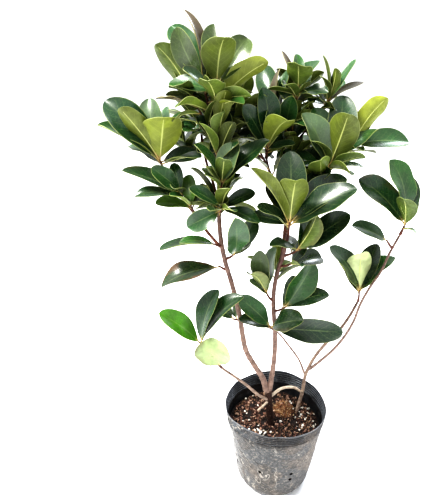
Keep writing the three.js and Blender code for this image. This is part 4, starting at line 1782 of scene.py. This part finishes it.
@dataclass
class Pot:
    """The soft pot: a thin film with ribs under its rim, dents, creases and drain holes."""

    rib_pitch: float = 3.1 * MM
    foot_radius: float = 46 * MM
    rounding: float = 18 * MM
    film: float = 0.6 * MM
    turns: int = 128
    rib_count: int = 5
    rib_depth: float = 0.5 * MM
    hole_radius: float = 2.3 * MM
    hole_rows: tuple[tuple[int, float], ...] = ((8, 51 * MM), (4, 40 * MM))
    first_hole: float = -70.0
    rim_radius: float = 65 * MM
    rim_marks: int = 32  # bearings at which the rim's outline is read
    floor_marks: tuple[float, ...] = (0.25, 0.5, 0.75)
    round_steps: int = 8
    wall_steps: int = 26
    rib_shape: tuple[tuple[float, float], ...] = ((0.2, -0.6), (0.5, 1.0), (0.8, -0.6), (1.0, 0.0))
    sag: float = 2.4 * MM
    height: float = field(init=False)
    insets: list[float] = field(init=False)

    def __post_init__(self) -> None:
        """Read the pot's height and the outline of its rim from the frame."""
        self.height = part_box("pot")[1].z
        mesh = FrameReader.merged("pot")
        reach = [0.0] * self.rim_marks
        for vert in mesh.verts:
            if vert.co.z > self.height - 0.1 * MM:
                mark = round(math.atan2(vert.co.y, vert.co.x) / math.tau * self.rim_marks) % self.rim_marks
                reach[mark] = max(reach[mark], math.hypot(vert.co.x, vert.co.y))
        self.insets = [self.rim_radius - radius for radius in reach]
        mesh.free()

    @property
    def slope(self) -> float:
        """The wall's lean from upright."""
        return math.atan2(self.rim_radius - self.foot_radius, self.height)

    def wall_radius(self, height: float) -> float:
        """Give the undented wall's radius at a height."""
        return self.foot_radius + height * math.tan(self.slope)

    def inset(self, bearing: float) -> float:
        """Give how far the rim is pushed in at a bearing in radians.

        Args:
            bearing: The bearing in radians.

        Returns:
            The distance.
        """
        low, share = divmod(bearing / math.tau * self.rim_marks, 1)
        before, after = (self.insets[int(mark) % self.rim_marks] for mark in (low, low + 1))
        return before * (1 - share) + after * share

    def crumple(self, bearing: float, height: float) -> float:
        """Give the film's fine creases at a place, in metres outwards.

        Args:
            bearing: The bearing in radians.
            height: The height.

        Returns:
            How far the film stands out.
        """
        ring = Vector((math.cos(bearing), math.sin(bearing), 0))
        broad = noise.noise(ring * 2.3 + Vector((3.0, 1.0, height * 16)))
        crease = abs(noise.noise(ring * 5.5 + Vector((height * 22, 7.0, height * 30))))
        tight = abs(noise.noise(ring * 13 + Vector((1.0, height * 60, height * 75))))
        calm = 1 - 0.6 * ease(self.height - 16 * MM, self.height - 10 * MM, height)
        return (1.1 * broad - 1.3 * crease - 0.5 * tight + 0.2) * MM * calm

    def dent(self, points: np.ndarray) -> np.ndarray:
        """Push rows of x, y and z in as the soft wall is.

        Args:
            points: The rows of an undented shape.

        Returns:
            The dented rows.
        """
        moved = points.copy()
        for row in moved:
            radius = math.hypot(row[0], row[1])
            if radius < 1 * MM:
                continue
            bearing = math.atan2(row[1], row[0])
            near_wall = min(1.0, radius / (0.7 * self.foot_radius))
            inset = self.inset(bearing) * max(0.0, row[2] / self.height) * near_wall
            wall = ease(0.55, 0.95, radius / self.wall_radius(row[2])) * ease(0.0, 14 * MM, row[2])
            share = 1 - (inset - self.crumple(bearing, row[2]) * wall) / radius
            row[:2] *= share
            sag = noise.noise(Vector((math.cos(bearing) * 2.4, math.sin(bearing) * 2.4, 5.0)))
            row[2] += self.sag * sag * ease(0.7, 1.0, row[2] / self.height) * wall
        return moved

    def profile(self) -> list[tuple[float, float]]:
        """Draw the film's outer line from the middle of its floor to its rim.

        Returns:
            Radius and height of each point.
        """
        shoulder = (1 - math.sin(self.slope)) / math.cos(self.slope)
        centre = self.foot_radius - self.rounding * shoulder
        line = [(0.0, 0.0)] + [(centre * share, 0.0) for share in self.floor_marks]
        for i in range(self.round_steps + 1):
            angle = -math.pi / 2 + (math.pi / 2 - self.slope) * i / self.round_steps
            line.append((centre + self.rounding * math.cos(angle), self.rounding * (1 + math.sin(angle))))
        ribs_from = self.height - (self.rib_count + 0.8) * self.rib_pitch
        low = line[-1][1]
        wall = [(low + (ribs_from - low) * i / self.wall_steps, 0.0) for i in range(1, self.wall_steps + 1)]
        for rib in range(self.rib_count):
            for share, push in self.rib_shape:
                wall.append((ribs_from + (rib + share) * self.rib_pitch, push * self.rib_depth))
        wall.append((self.height, 0.1 * MM))
        return line + [(self.wall_radius(height) + push, height) for height, push in wall]

    def build(self) -> Piece:
        """Make the pot.

        Returns:
            The finished pot.
        """
        line = self.profile()
        Bench.clear()
        bpy.ops.mesh.primitive_plane_add(size=1 * MM)
        piece = bpy.context.object
        Bench.edit(piece, action="SELECT")
        bpy.ops.mesh.merge(type="CENTER")
        for (radius, height), (next_radius, next_height) in zip(line, line[1:]):
            step = (next_radius - radius, 0, next_height - height)
            bpy.ops.mesh.extrude_vertices_move(TRANSFORM_OT_translate={"value": step})
        bpy.ops.mesh.select_all(action="SELECT")
        bpy.ops.mesh.spin(steps=self.turns, angle=math.tau, center=(0, 0, 0), axis=(0, 0, 1))
        bpy.ops.mesh.select_all(action="SELECT")
        bpy.ops.mesh.remove_doubles(threshold=0.02 * MM)
        bpy.ops.mesh.normals_make_consistent(inside=False)
        bpy.ops.object.mode_set(mode="OBJECT")
        if self.faces_in(piece.data):
            Bench.edit(piece, "FACE", "SELECT")
            bpy.ops.mesh.flip_normals()
            bpy.ops.object.mode_set(mode="OBJECT")
        Bench.reshape(piece.data, self.dent(Bench.points(piece.data)))
        for_film = (self.height, self.rib_pitch)
        films = (PotFilm("pot_outside", *for_film, True), PotFilm("pot_inside", *for_film, False))
        Bench.dress(piece, *(film.material() for film in films))
        piece.name = piece.data.name = "soft_pot"
        Bench.apply(piece, "SOLIDIFY", thickness=self.film, offset=-1.0, material_offset=1)
        self.pierce(piece)
        Bench.smooth(piece, 60)
        return piece

    @staticmethod
    def faces_in(mesh: Mesh) -> bool:
        """Tell whether the wall's faces point at the pot's axis.

        Args:
            mesh: The mesh of the film.

        Returns:
            True where they do.
        """
        score = 0.0
        for face in mesh.polygons:
            centre = face.center
            score += face.normal.x * centre.x + face.normal.y * centre.y - face.normal.z * 1e-3
        return score < 0

    def pierce(self, piece: Piece) -> None:
        """Cut the drain holes.

        Args:
            piece: The pot's film.
        """
        drills = []
        for count, height in self.hole_rows:
            for i in range(count):
                bearing = math.radians(self.first_hole) + math.tau * i / count
                radius = self.wall_radius(height)
                Bench.clear()
                bpy.ops.mesh.primitive_cylinder_add(
                    vertices=20, radius=self.hole_radius, depth=24 * MM,
                    location=(radius * math.cos(bearing), radius * math.sin(bearing), height),
                    rotation=(0, math.pi / 2, bearing),
                )
                Bench.settle(bpy.context.object)
                drills.append(bpy.context.object)
        drill = Bench.join(drills, "drain_drill")
        Bench.apply(piece, "BOOLEAN", object=drill, operation="DIFFERENCE", solver="EXACT")
        bpy.data.objects.remove(drill)


Bit = tuple[Vector, float, Quaternion, Colour]  # place, size, turn and colour
EARTH = ("1f1410", "4c2c20")
CLUMP_EARTH = "8a5c3c"
CRUMBS = ("1a110c", "30201a", "462f26", "624237", "865f50", "b08c7b", "caa890")
CLODS = ("8f5f3d", "a97450", "c79a70", "e0c7a0")
GRAINS = ("f4f1e8", "e9e4d8", "fbf9f2")
FIBRES = ("8a6a4e", "5a4232", "b08a6a", "2f1d14")
# the pale cream d8b88c is partly painted light: it stands in for the lit side of the clump as well as for
# pale fibres
COIR = ("9a6a48", "b98a60", "7d5237", "d8b88c")


@dataclass
class Soil:
    """The potting mix: rough earth with crumbs, bark, fibres and white grit on it."""

    pot: Pot
    earth: Material
    grit: Material
    rings: int = 44
    turns: int = 120
    gap: float = 0.5 * MM  # between the mix and the wall, at the top
    low_gap: float = 2.2 * MM  # and further down
    side_rows: tuple[float, ...] = (0.78, 0.5, 0.24, 0.08)
    foot_share: float = 0.82
    crumb_kinds: int = 6
    clump_reach: tuple[float, float] = (17 * MM, 9 * MM)
    fibre_points: int = 5
    level: float = field(init=False)
    peak: Vector = field(init=False)
    tree: BVHTree = field(init=False)

    def __post_init__(self) -> None:
        """Read the soil's level and its clump from the frame."""
        mesh = FrameReader.merged("soil")
        self.tree = BVHTree.FromBMesh(mesh)
        top = [v.co.copy() for v in mesh.verts if v.normal.z > 0.5 and v.co.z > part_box("soil")[1].z / 2]
        self.level = sorted(spot.z for spot in top)[len(top) // 2]
        self.peak = max(top, key=lambda spot: spot.z)
        mesh.free()

    def ground(self, x: float, y: float) -> float:
        """Give the height of the frame's soil at a place, level over the stems' holes.

        Args:
            x: Its place across.
            y: Its place in depth.

        Returns:
            The height.
        """
        hit, _, _, _ = self.tree.ray_cast(Vector((x, y, 0.3)), Vector((0, 0, -1)))
        if hit is None or hit.z < self.level - 4 * MM:
            return self.level
        return hit.z

    def rough(self, x: float, y: float) -> float:
        """Give the small unevenness of the mix at a place.

        Args:
            x: Its place across.
            y: Its place in depth.

        Returns:
            How far the mix stands up there.
        """
        spot = Vector((x, y, 0.0))
        big = noise.noise(spot * 120)
        small = noise.noise(spot * 420 + Vector((5, 3, 1)))
        fine = noise.noise(spot * 1100 + Vector((2, 8, 4)))
        return (1.3 * big + 1.2 * small + 0.5 * fine) * MM

    def edge(self) -> float:
        """Give the undented radius of the soil's edge."""
        return self.pot.wall_radius(self.level) - self.pot.film - self.gap

    def surface(self, bearing: float, share: float) -> Vector:
        """Find a point on the mix.

        Args:
            bearing: The bearing in radians.
            share: How far out it is, from 0 at the middle to 1 at the wall.

        Returns:
            The point.
        """
        radius = self.edge() * share
        flat = np.array([[radius * math.cos(bearing), radius * math.sin(bearing), self.level]])
        x, y, _ = self.pot.dent(flat)[0]
        inner = min(1.0, 6 * (1 - share))
        ground = self.ground(x * 0.985, y * 0.985)
        return Vector((x, y, ground + self.rough(x, y) * (0.4 + 0.6 * inner) - 0.4 * MM))

    def body(self) -> Piece:
        """Make the earth itself, rough on top and filling the pot.

        Returns:
            The earth.
        """
        Bench.clear()
        edge = self.edge()
        bpy.ops.mesh.primitive_circle_add(
            vertices=self.turns, radius=edge, fill_type="NOTHING", location=(0, 0, self.level)
        )
        piece = bpy.context.object
        Bench.settle(piece)
        Bench.edit(piece, action="SELECT")
        for ring in range(self.rings - 1, 0, -1):
            share = ring / (ring + 1)
            bpy.ops.mesh.extrude_edges_move()
            bpy.ops.transform.resize(value=(share, share, 1), center_override=(0, 0, self.level))
        bpy.ops.mesh.extrude_edges_move()
        bpy.ops.mesh.merge(type="CENTER")
        Bench.choose(piece, lambda co: math.hypot(co.x, co.y) > edge * 0.999)
        for row in self.side_rows:
            drop = row * self.level
            want = self.pot.wall_radius(drop) - self.pot.film - self.low_gap
            if row == self.side_rows[-1]:
                want *= self.foot_share
            bpy.ops.mesh.extrude_edges_move()
            bpy.ops.transform.translate(value=(0, 0, drop - Bench.chosen_mean(piece, lambda co: co.z)))
            share = want / Bench.chosen_mean(piece, lambda co: math.hypot(co.x, co.y))
            bpy.ops.transform.resize(value=(share, share, 1), center_override=(0, 0, drop))
        bpy.ops.mesh.edge_face_add()
        bpy.ops.object.mode_set(mode="OBJECT")
        Bench.close(piece)
        points = Bench.points(piece.data)
        top = points[:, 2] > self.level - 0.01 * MM
        low = self.pot.dent(points[~top])
        for i in np.nonzero(top)[0]:
            x, y, _ = points[i]
            points[i] = self.surface(math.atan2(y, x), math.hypot(x, y) / edge)
        points[~top] = low
        Bench.reshape(piece.data, points)
        Bench.tint(piece.data, "grain_tint", [self.earth_tint(Vector(p)) for p in points])
        Bench.dress(piece, self.earth)
        piece.name = piece.data.name = "potting_mix"
        Bench.smooth(piece, 80)
        return piece

    def clump(self, place: Vector) -> float:
        """Tell how much a place belongs to the coir clump, from 0 to 1."""
        return ease(*self.clump_reach, math.hypot(place.x - self.peak.x, place.y - self.peak.y))

    def earth_tint(self, spot: Vector) -> tuple[float, ...]:
        """Give the earth's colour at a place: black-brown, reddish in patches, orange-brown on the clump."""
        base = blend(*map(colour, EARTH), ease(0.0, 0.5, noise.noise(spot * 75)))
        return blend(base, colour(CLUMP_EARTH), self.clump(spot))

    def crumb_mould(self, kind: int) -> Mesh:
        """Shape one crumb of 20 faces.

        Args:
            kind: Which crumb of the set.

        Returns:
            The crumb's mesh, about 1 across.
        """
        Bench.clear()
        bpy.ops.mesh.primitive_ico_sphere_add(subdivisions=1, radius=0.5)
        piece = bpy.context.object
        chance = random.Random(kind)
        stretch = Vector((chance.uniform(0.7, 1.4), chance.uniform(0.6, 1.1), chance.uniform(0.5, 0.9)))
        Bench.edit(piece, action="SELECT")
        bpy.ops.transform.resize(value=stretch)
        bpy.ops.transform.vertex_random(offset=0.13, seed=kind + 1)
        bpy.ops.object.mode_set(mode="OBJECT")
        return Bench.keep(piece)

    @staticmethod
    def scatter(name: str, moulds: list[Mesh], spots: list[Bit], finish: Material) -> Piece:
        """Lay copies of a few moulds at many spots.

        Args:
            name: The name of the laid piece.
            moulds: The meshes to copy in turn.
            spots: Place, size, turn and colour of each copy.
            finish: The material.

        Returns:
            The laid piece.
        """
        whole = bmesh.new()
        whole.verts.layers.float_color.new("grain_tint")
        for i, (place, size, turn, tint) in enumerate(spots):
            mesh = moulds[i % len(moulds)].copy()
            mesh.transform(Matrix.LocRotScale(place, turn, Vector((size, size, size))))
            Bench.tint(mesh, "grain_tint", tint)
            whole.from_mesh(mesh)
            bpy.data.meshes.remove(mesh)
        mesh = bpy.data.meshes.new(name)
        whole.to_mesh(mesh)
        whole.free()
        mesh.materials.append(finish)
        return Bench.place(name, mesh)

    def spots(
        self, count: int, size: tuple[float, float], tints: Sequence[str], chance: random.Random,
        wanted: Callable[[Vector], float], sink: float = 0.15,
    ) -> list[Bit]:
        """Choose spots for scattered bits.

        Args:
            count: How many.
            size: The smallest and the largest size.
            tints: Hex colours to choose from.
            chance: The source of chance.
            wanted: Says of a place how likely a bit is there, 0 to 1.
            sink: How far a bit sinks in, as a share of its size.

        Returns:
            Place, size, turn and colour of each bit.
        """
        found = []
        while len(found) < count:
            bearing = chance.uniform(0, math.tau)
            share = math.sqrt(chance.random()) * 0.965
            place = self.surface(bearing, share)
            if chance.random() > wanted(place):
                continue
            span = chance.uniform(*size)
            turn = Quaternion([chance.gauss(0, 1) for _ in range(4)]).normalized()
            place.z += (0.5 - sink) * span * 0.5
            found.append((place, span, turn, colour(chance.choice(tints))))
        return found

    def fibre(self, chance: random.Random, place: Vector) -> tuple[list[Vector], float]:
        """Lay out one coir fibre.

        Args:
            chance: The source of chance.
            place: Its middle.

        Returns:
            Its points and its radius.
        """
        way = chance.uniform(0, math.tau)
        length = chance.uniform(4, 13) * MM
        bend = chance.uniform(-1, 1)
        limit = self.edge() * 0.9
        points = []
        for i in range(self.fibre_points):
            t = i / (self.fibre_points - 1) - 0.5
            angle = way + bend * t * 2
            x = place.x + math.cos(angle) * t * length
            y = place.y + math.sin(angle) * t * length
            share = min(1.0, limit / max(math.hypot(x, y), MERGE))
            x, y = x * share, y * share
            lift = (0.9 + 1.3 * chance.random() * (1 - 4 * t * t)) * MM
            points.append(Vector((x, y, self.ground(x, y) + self.rough(x, y) + lift)))
        return points, chance.uniform(0.14, 0.3) * MM

    def weave(
        self, name: str, wanted: Callable[[Vector], float], count: int, tints: Sequence[str], seed: int
    ) -> Piece:
        """Lay fibres over the mix.

        Args:
            name: The name of the laid piece.
            wanted: Says of a place how likely a fibre is there, 0 to 1.
            count: How many fibres.
            tints: Hex colours to choose from.
            seed: The seed of its chance.

        Returns:
            The fibres as one piece.
        """
        chance = random.Random(seed)
        by_tint: dict[str, list[Run]] = {}
        laid = 0
        while laid < count:
            place = self.surface(chance.uniform(0, math.tau), math.sqrt(chance.random()) * 0.93)
            if chance.random() > wanted(place):
                continue
            tint = chance.choice(tints)
            points, radius = self.fibre(chance, place)
            by_tint.setdefault(tint, []).append((points, [radius] * len(points)))
            laid += 1
        pieces = []
        for tint, runs in by_tint.items():
            pieces.append(Bench.tube(f"{name}_{tint}", runs, 0))
            Bench.tint(pieces[-1].data, "grain_tint", colour(tint))
            Bench.dress(pieces[-1], self.earth)
        joined = Bench.join(pieces, name)
        Bench.close(joined)
        return joined

    def build(self) -> list[Piece]:
        """Make the potting mix.

        Returns:
            The earth and what lies on it.
        """
        moulds = [self.crumb_mould(kind) for kind in range(self.crumb_kinds)]
        chance = random.Random(41)

        def anywhere(place: Vector) -> float:
            """Say how likely a crumb is."""
            return 1.0 - 0.5 * self.clump(place)

        def gritty(place: Vector) -> float:
            """Say how likely a white grain is: mostly front left and at the right.

            Args:
                place: The place.

            Returns:
                The likelihood, from 0 to 1.
            """
            left = ease(0.0, -30 * MM, place.x) * ease(8 * MM, -14 * MM, place.y)
            right = ease(20 * MM, 42 * MM, place.x)
            return min(1.0, 0.06 + 0.9 * left + 0.35 * right) * (1 - self.clump(place))

        crumbs = self.spots(1300, (1.3 * MM, 4.2 * MM), CRUMBS, chance, anywhere)
        clods = self.spots(90, (1.2 * MM, 3.2 * MM), CLODS, chance, self.clump)
        grains = self.spots(120, (1.8 * MM, 4.2 * MM), GRAINS, chance, gritty, -0.3)
        return [
            self.body(),
            self.scatter("bark_crumbs", moulds, crumbs + clods, self.earth),
            self.scatter("white_grit", moulds, grains, self.grit),
            self.weave("loose_fibres", anywhere, 260, FIBRES, 7),
            self.weave("coir_clump", self.clump, 110, COIR, 8),
        ]


# ------------------------------------------------------------------ studio


@dataclass(frozen=True)
class Lamp:
    """A round soft lamp."""

    name: str
    place: tuple[float, float, float]
    size: float
    power: float
    tone: str


@dataclass(frozen=True)
class Studio:
    """A plain pale floor, soft light and the camera."""

    camera_place: tuple[float, float, float] = (-75 * MM, -501 * MM, 573 * MM)
    pitch: float = 24.7
    focal: float = 500.0
    long_side: float = 495.0
    sensor: float = 36.0
    floor_tone: str = "f4f5f7"
    sky_tone: str = "fbfcfd"
    sky: float = 0.88
    exposure: float = 0.18
    lamps: tuple[Lamp, ...] = (
        Lamp("key", (-1.0, -0.3, 1.9), 0.9, 68.0, "fffdf8"),
        Lamp("back", (0.9, 1.2, 1.7), 0.9, 24.0, "f2f7ff"),
    )
    target: tuple[float, float, float] = (0, 0, 0.3)  # what the lamps point at

    def camera(self) -> None:
        """Set the camera up."""
        data = bpy.data.cameras.new("camera")
        data.sensor_width = self.sensor
        data.sensor_fit = "AUTO"
        data.lens = self.focal / self.long_side * self.sensor
        data.clip_start, data.clip_end = 0.01, 100.0
        camera = Bench.place("camera", data)
        camera.location = self.camera_place
        camera.rotation_euler = (math.radians(90 - self.pitch), 0, 0)
        bpy.context.scene.camera = camera

    def floor(self) -> None:
        """Lay the floor."""
        Bench.clear()
        bpy.ops.mesh.primitive_plane_add(size=30, location=(0, 0, 0))
        plane = bpy.context.object
        plane.name = "studio_floor"
        graph = Graph("studio_floor")
        graph.set(base_color=colour(self.floor_tone), roughness=0.9, specular_ior_level=0.1)
        plane.data.materials.append(graph.material)

    def light(self) -> None:
        """Set up an even pale sky and two large soft lamps."""
        world = bpy.data.worlds.new("studio_sky")
        world.use_nodes = True
        back = world.node_tree.nodes["Background"]
        back.inputs["Color"].default_value = colour(self.sky_tone)
        back.inputs["Strength"].default_value = self.sky
        bpy.context.scene.world = world
        for lamp in self.lamps:
            data = bpy.data.lights.new(lamp.name, "AREA")
            data.shape, data.size, data.energy = "DISK", lamp.size, lamp.power
            data.color = colour(lamp.tone)[:3]
            piece = Bench.place(lamp.name, data)
            piece.location = lamp.place
            aim = Vector(self.target) - Vector(lamp.place)
            piece.rotation_euler = aim.to_track_quat("-Z", "Y").to_euler()
        view = bpy.context.scene.view_settings
        view.view_transform, view.look, view.exposure = "Standard", "High Contrast", self.exposure

    def build(self) -> None:
        """Set up the camera, the floor and the light."""
        self.camera()
        self.floor()
        self.light()
        log.info("studio is ready")


# ------------------------------------------------------------------ the plant


def main() -> None:
    """Build the potted plant in order."""
    logging.basicConfig(level=logging.INFO, format="%(name)s: %(message)s")
    Bench.clear()
    Studio().build()

    pot = Pot()
    Bench.hand_over(pot.build(), "pot_film", ["pot"])

    soil = Soil(pot, Crumb("earth").material(), Crumb("white_grit", 0.6, 0.12).material())
    for piece in soil.build():
        Bench.hand_over(piece, "potting_mix", ["soil"])

    reader = FrameReader()
    stems = StemMaker(Bark().material())
    routes: dict[str, Route] = {}
    for name, plan in STEMS.items():
        route = reader.stem(name, routes.get(plan.parent) if plan.parent else None)
        if plan.meets:
            route.points.append(routes[plan.meets].nearest(route.points[-1])[0])
            route.radii.append(route.radii[-1])
        routes[name] = route
        piece = stems.build(name + "_bark", route, plan.age, plan.parent is not None)
        Bench.smooth(piece, 70)
        Bench.hand_over(piece, "bark", [name])

    skins = (
        LeafSide("leaf_upper", "upper_tint", "8ea068", (0.24, 0.42), 0.3, 0.1, 0.27).material(),
        LeafSide("leaf_under", "under_tint", "b4bd66", (0.46, 0.6), 0.0, 0.14, 0.75).material(),
        RibSkin().material(),
    )
    maker = ShootMaker(reader, LeafMould(skins), stems, routes)
    for name, plan in SHOOTS.items():
        Bench.hand_over(maker.build(name, plan), "leaf", [name])

    Bench.clear()


if __name__ == "__main__":
    main()
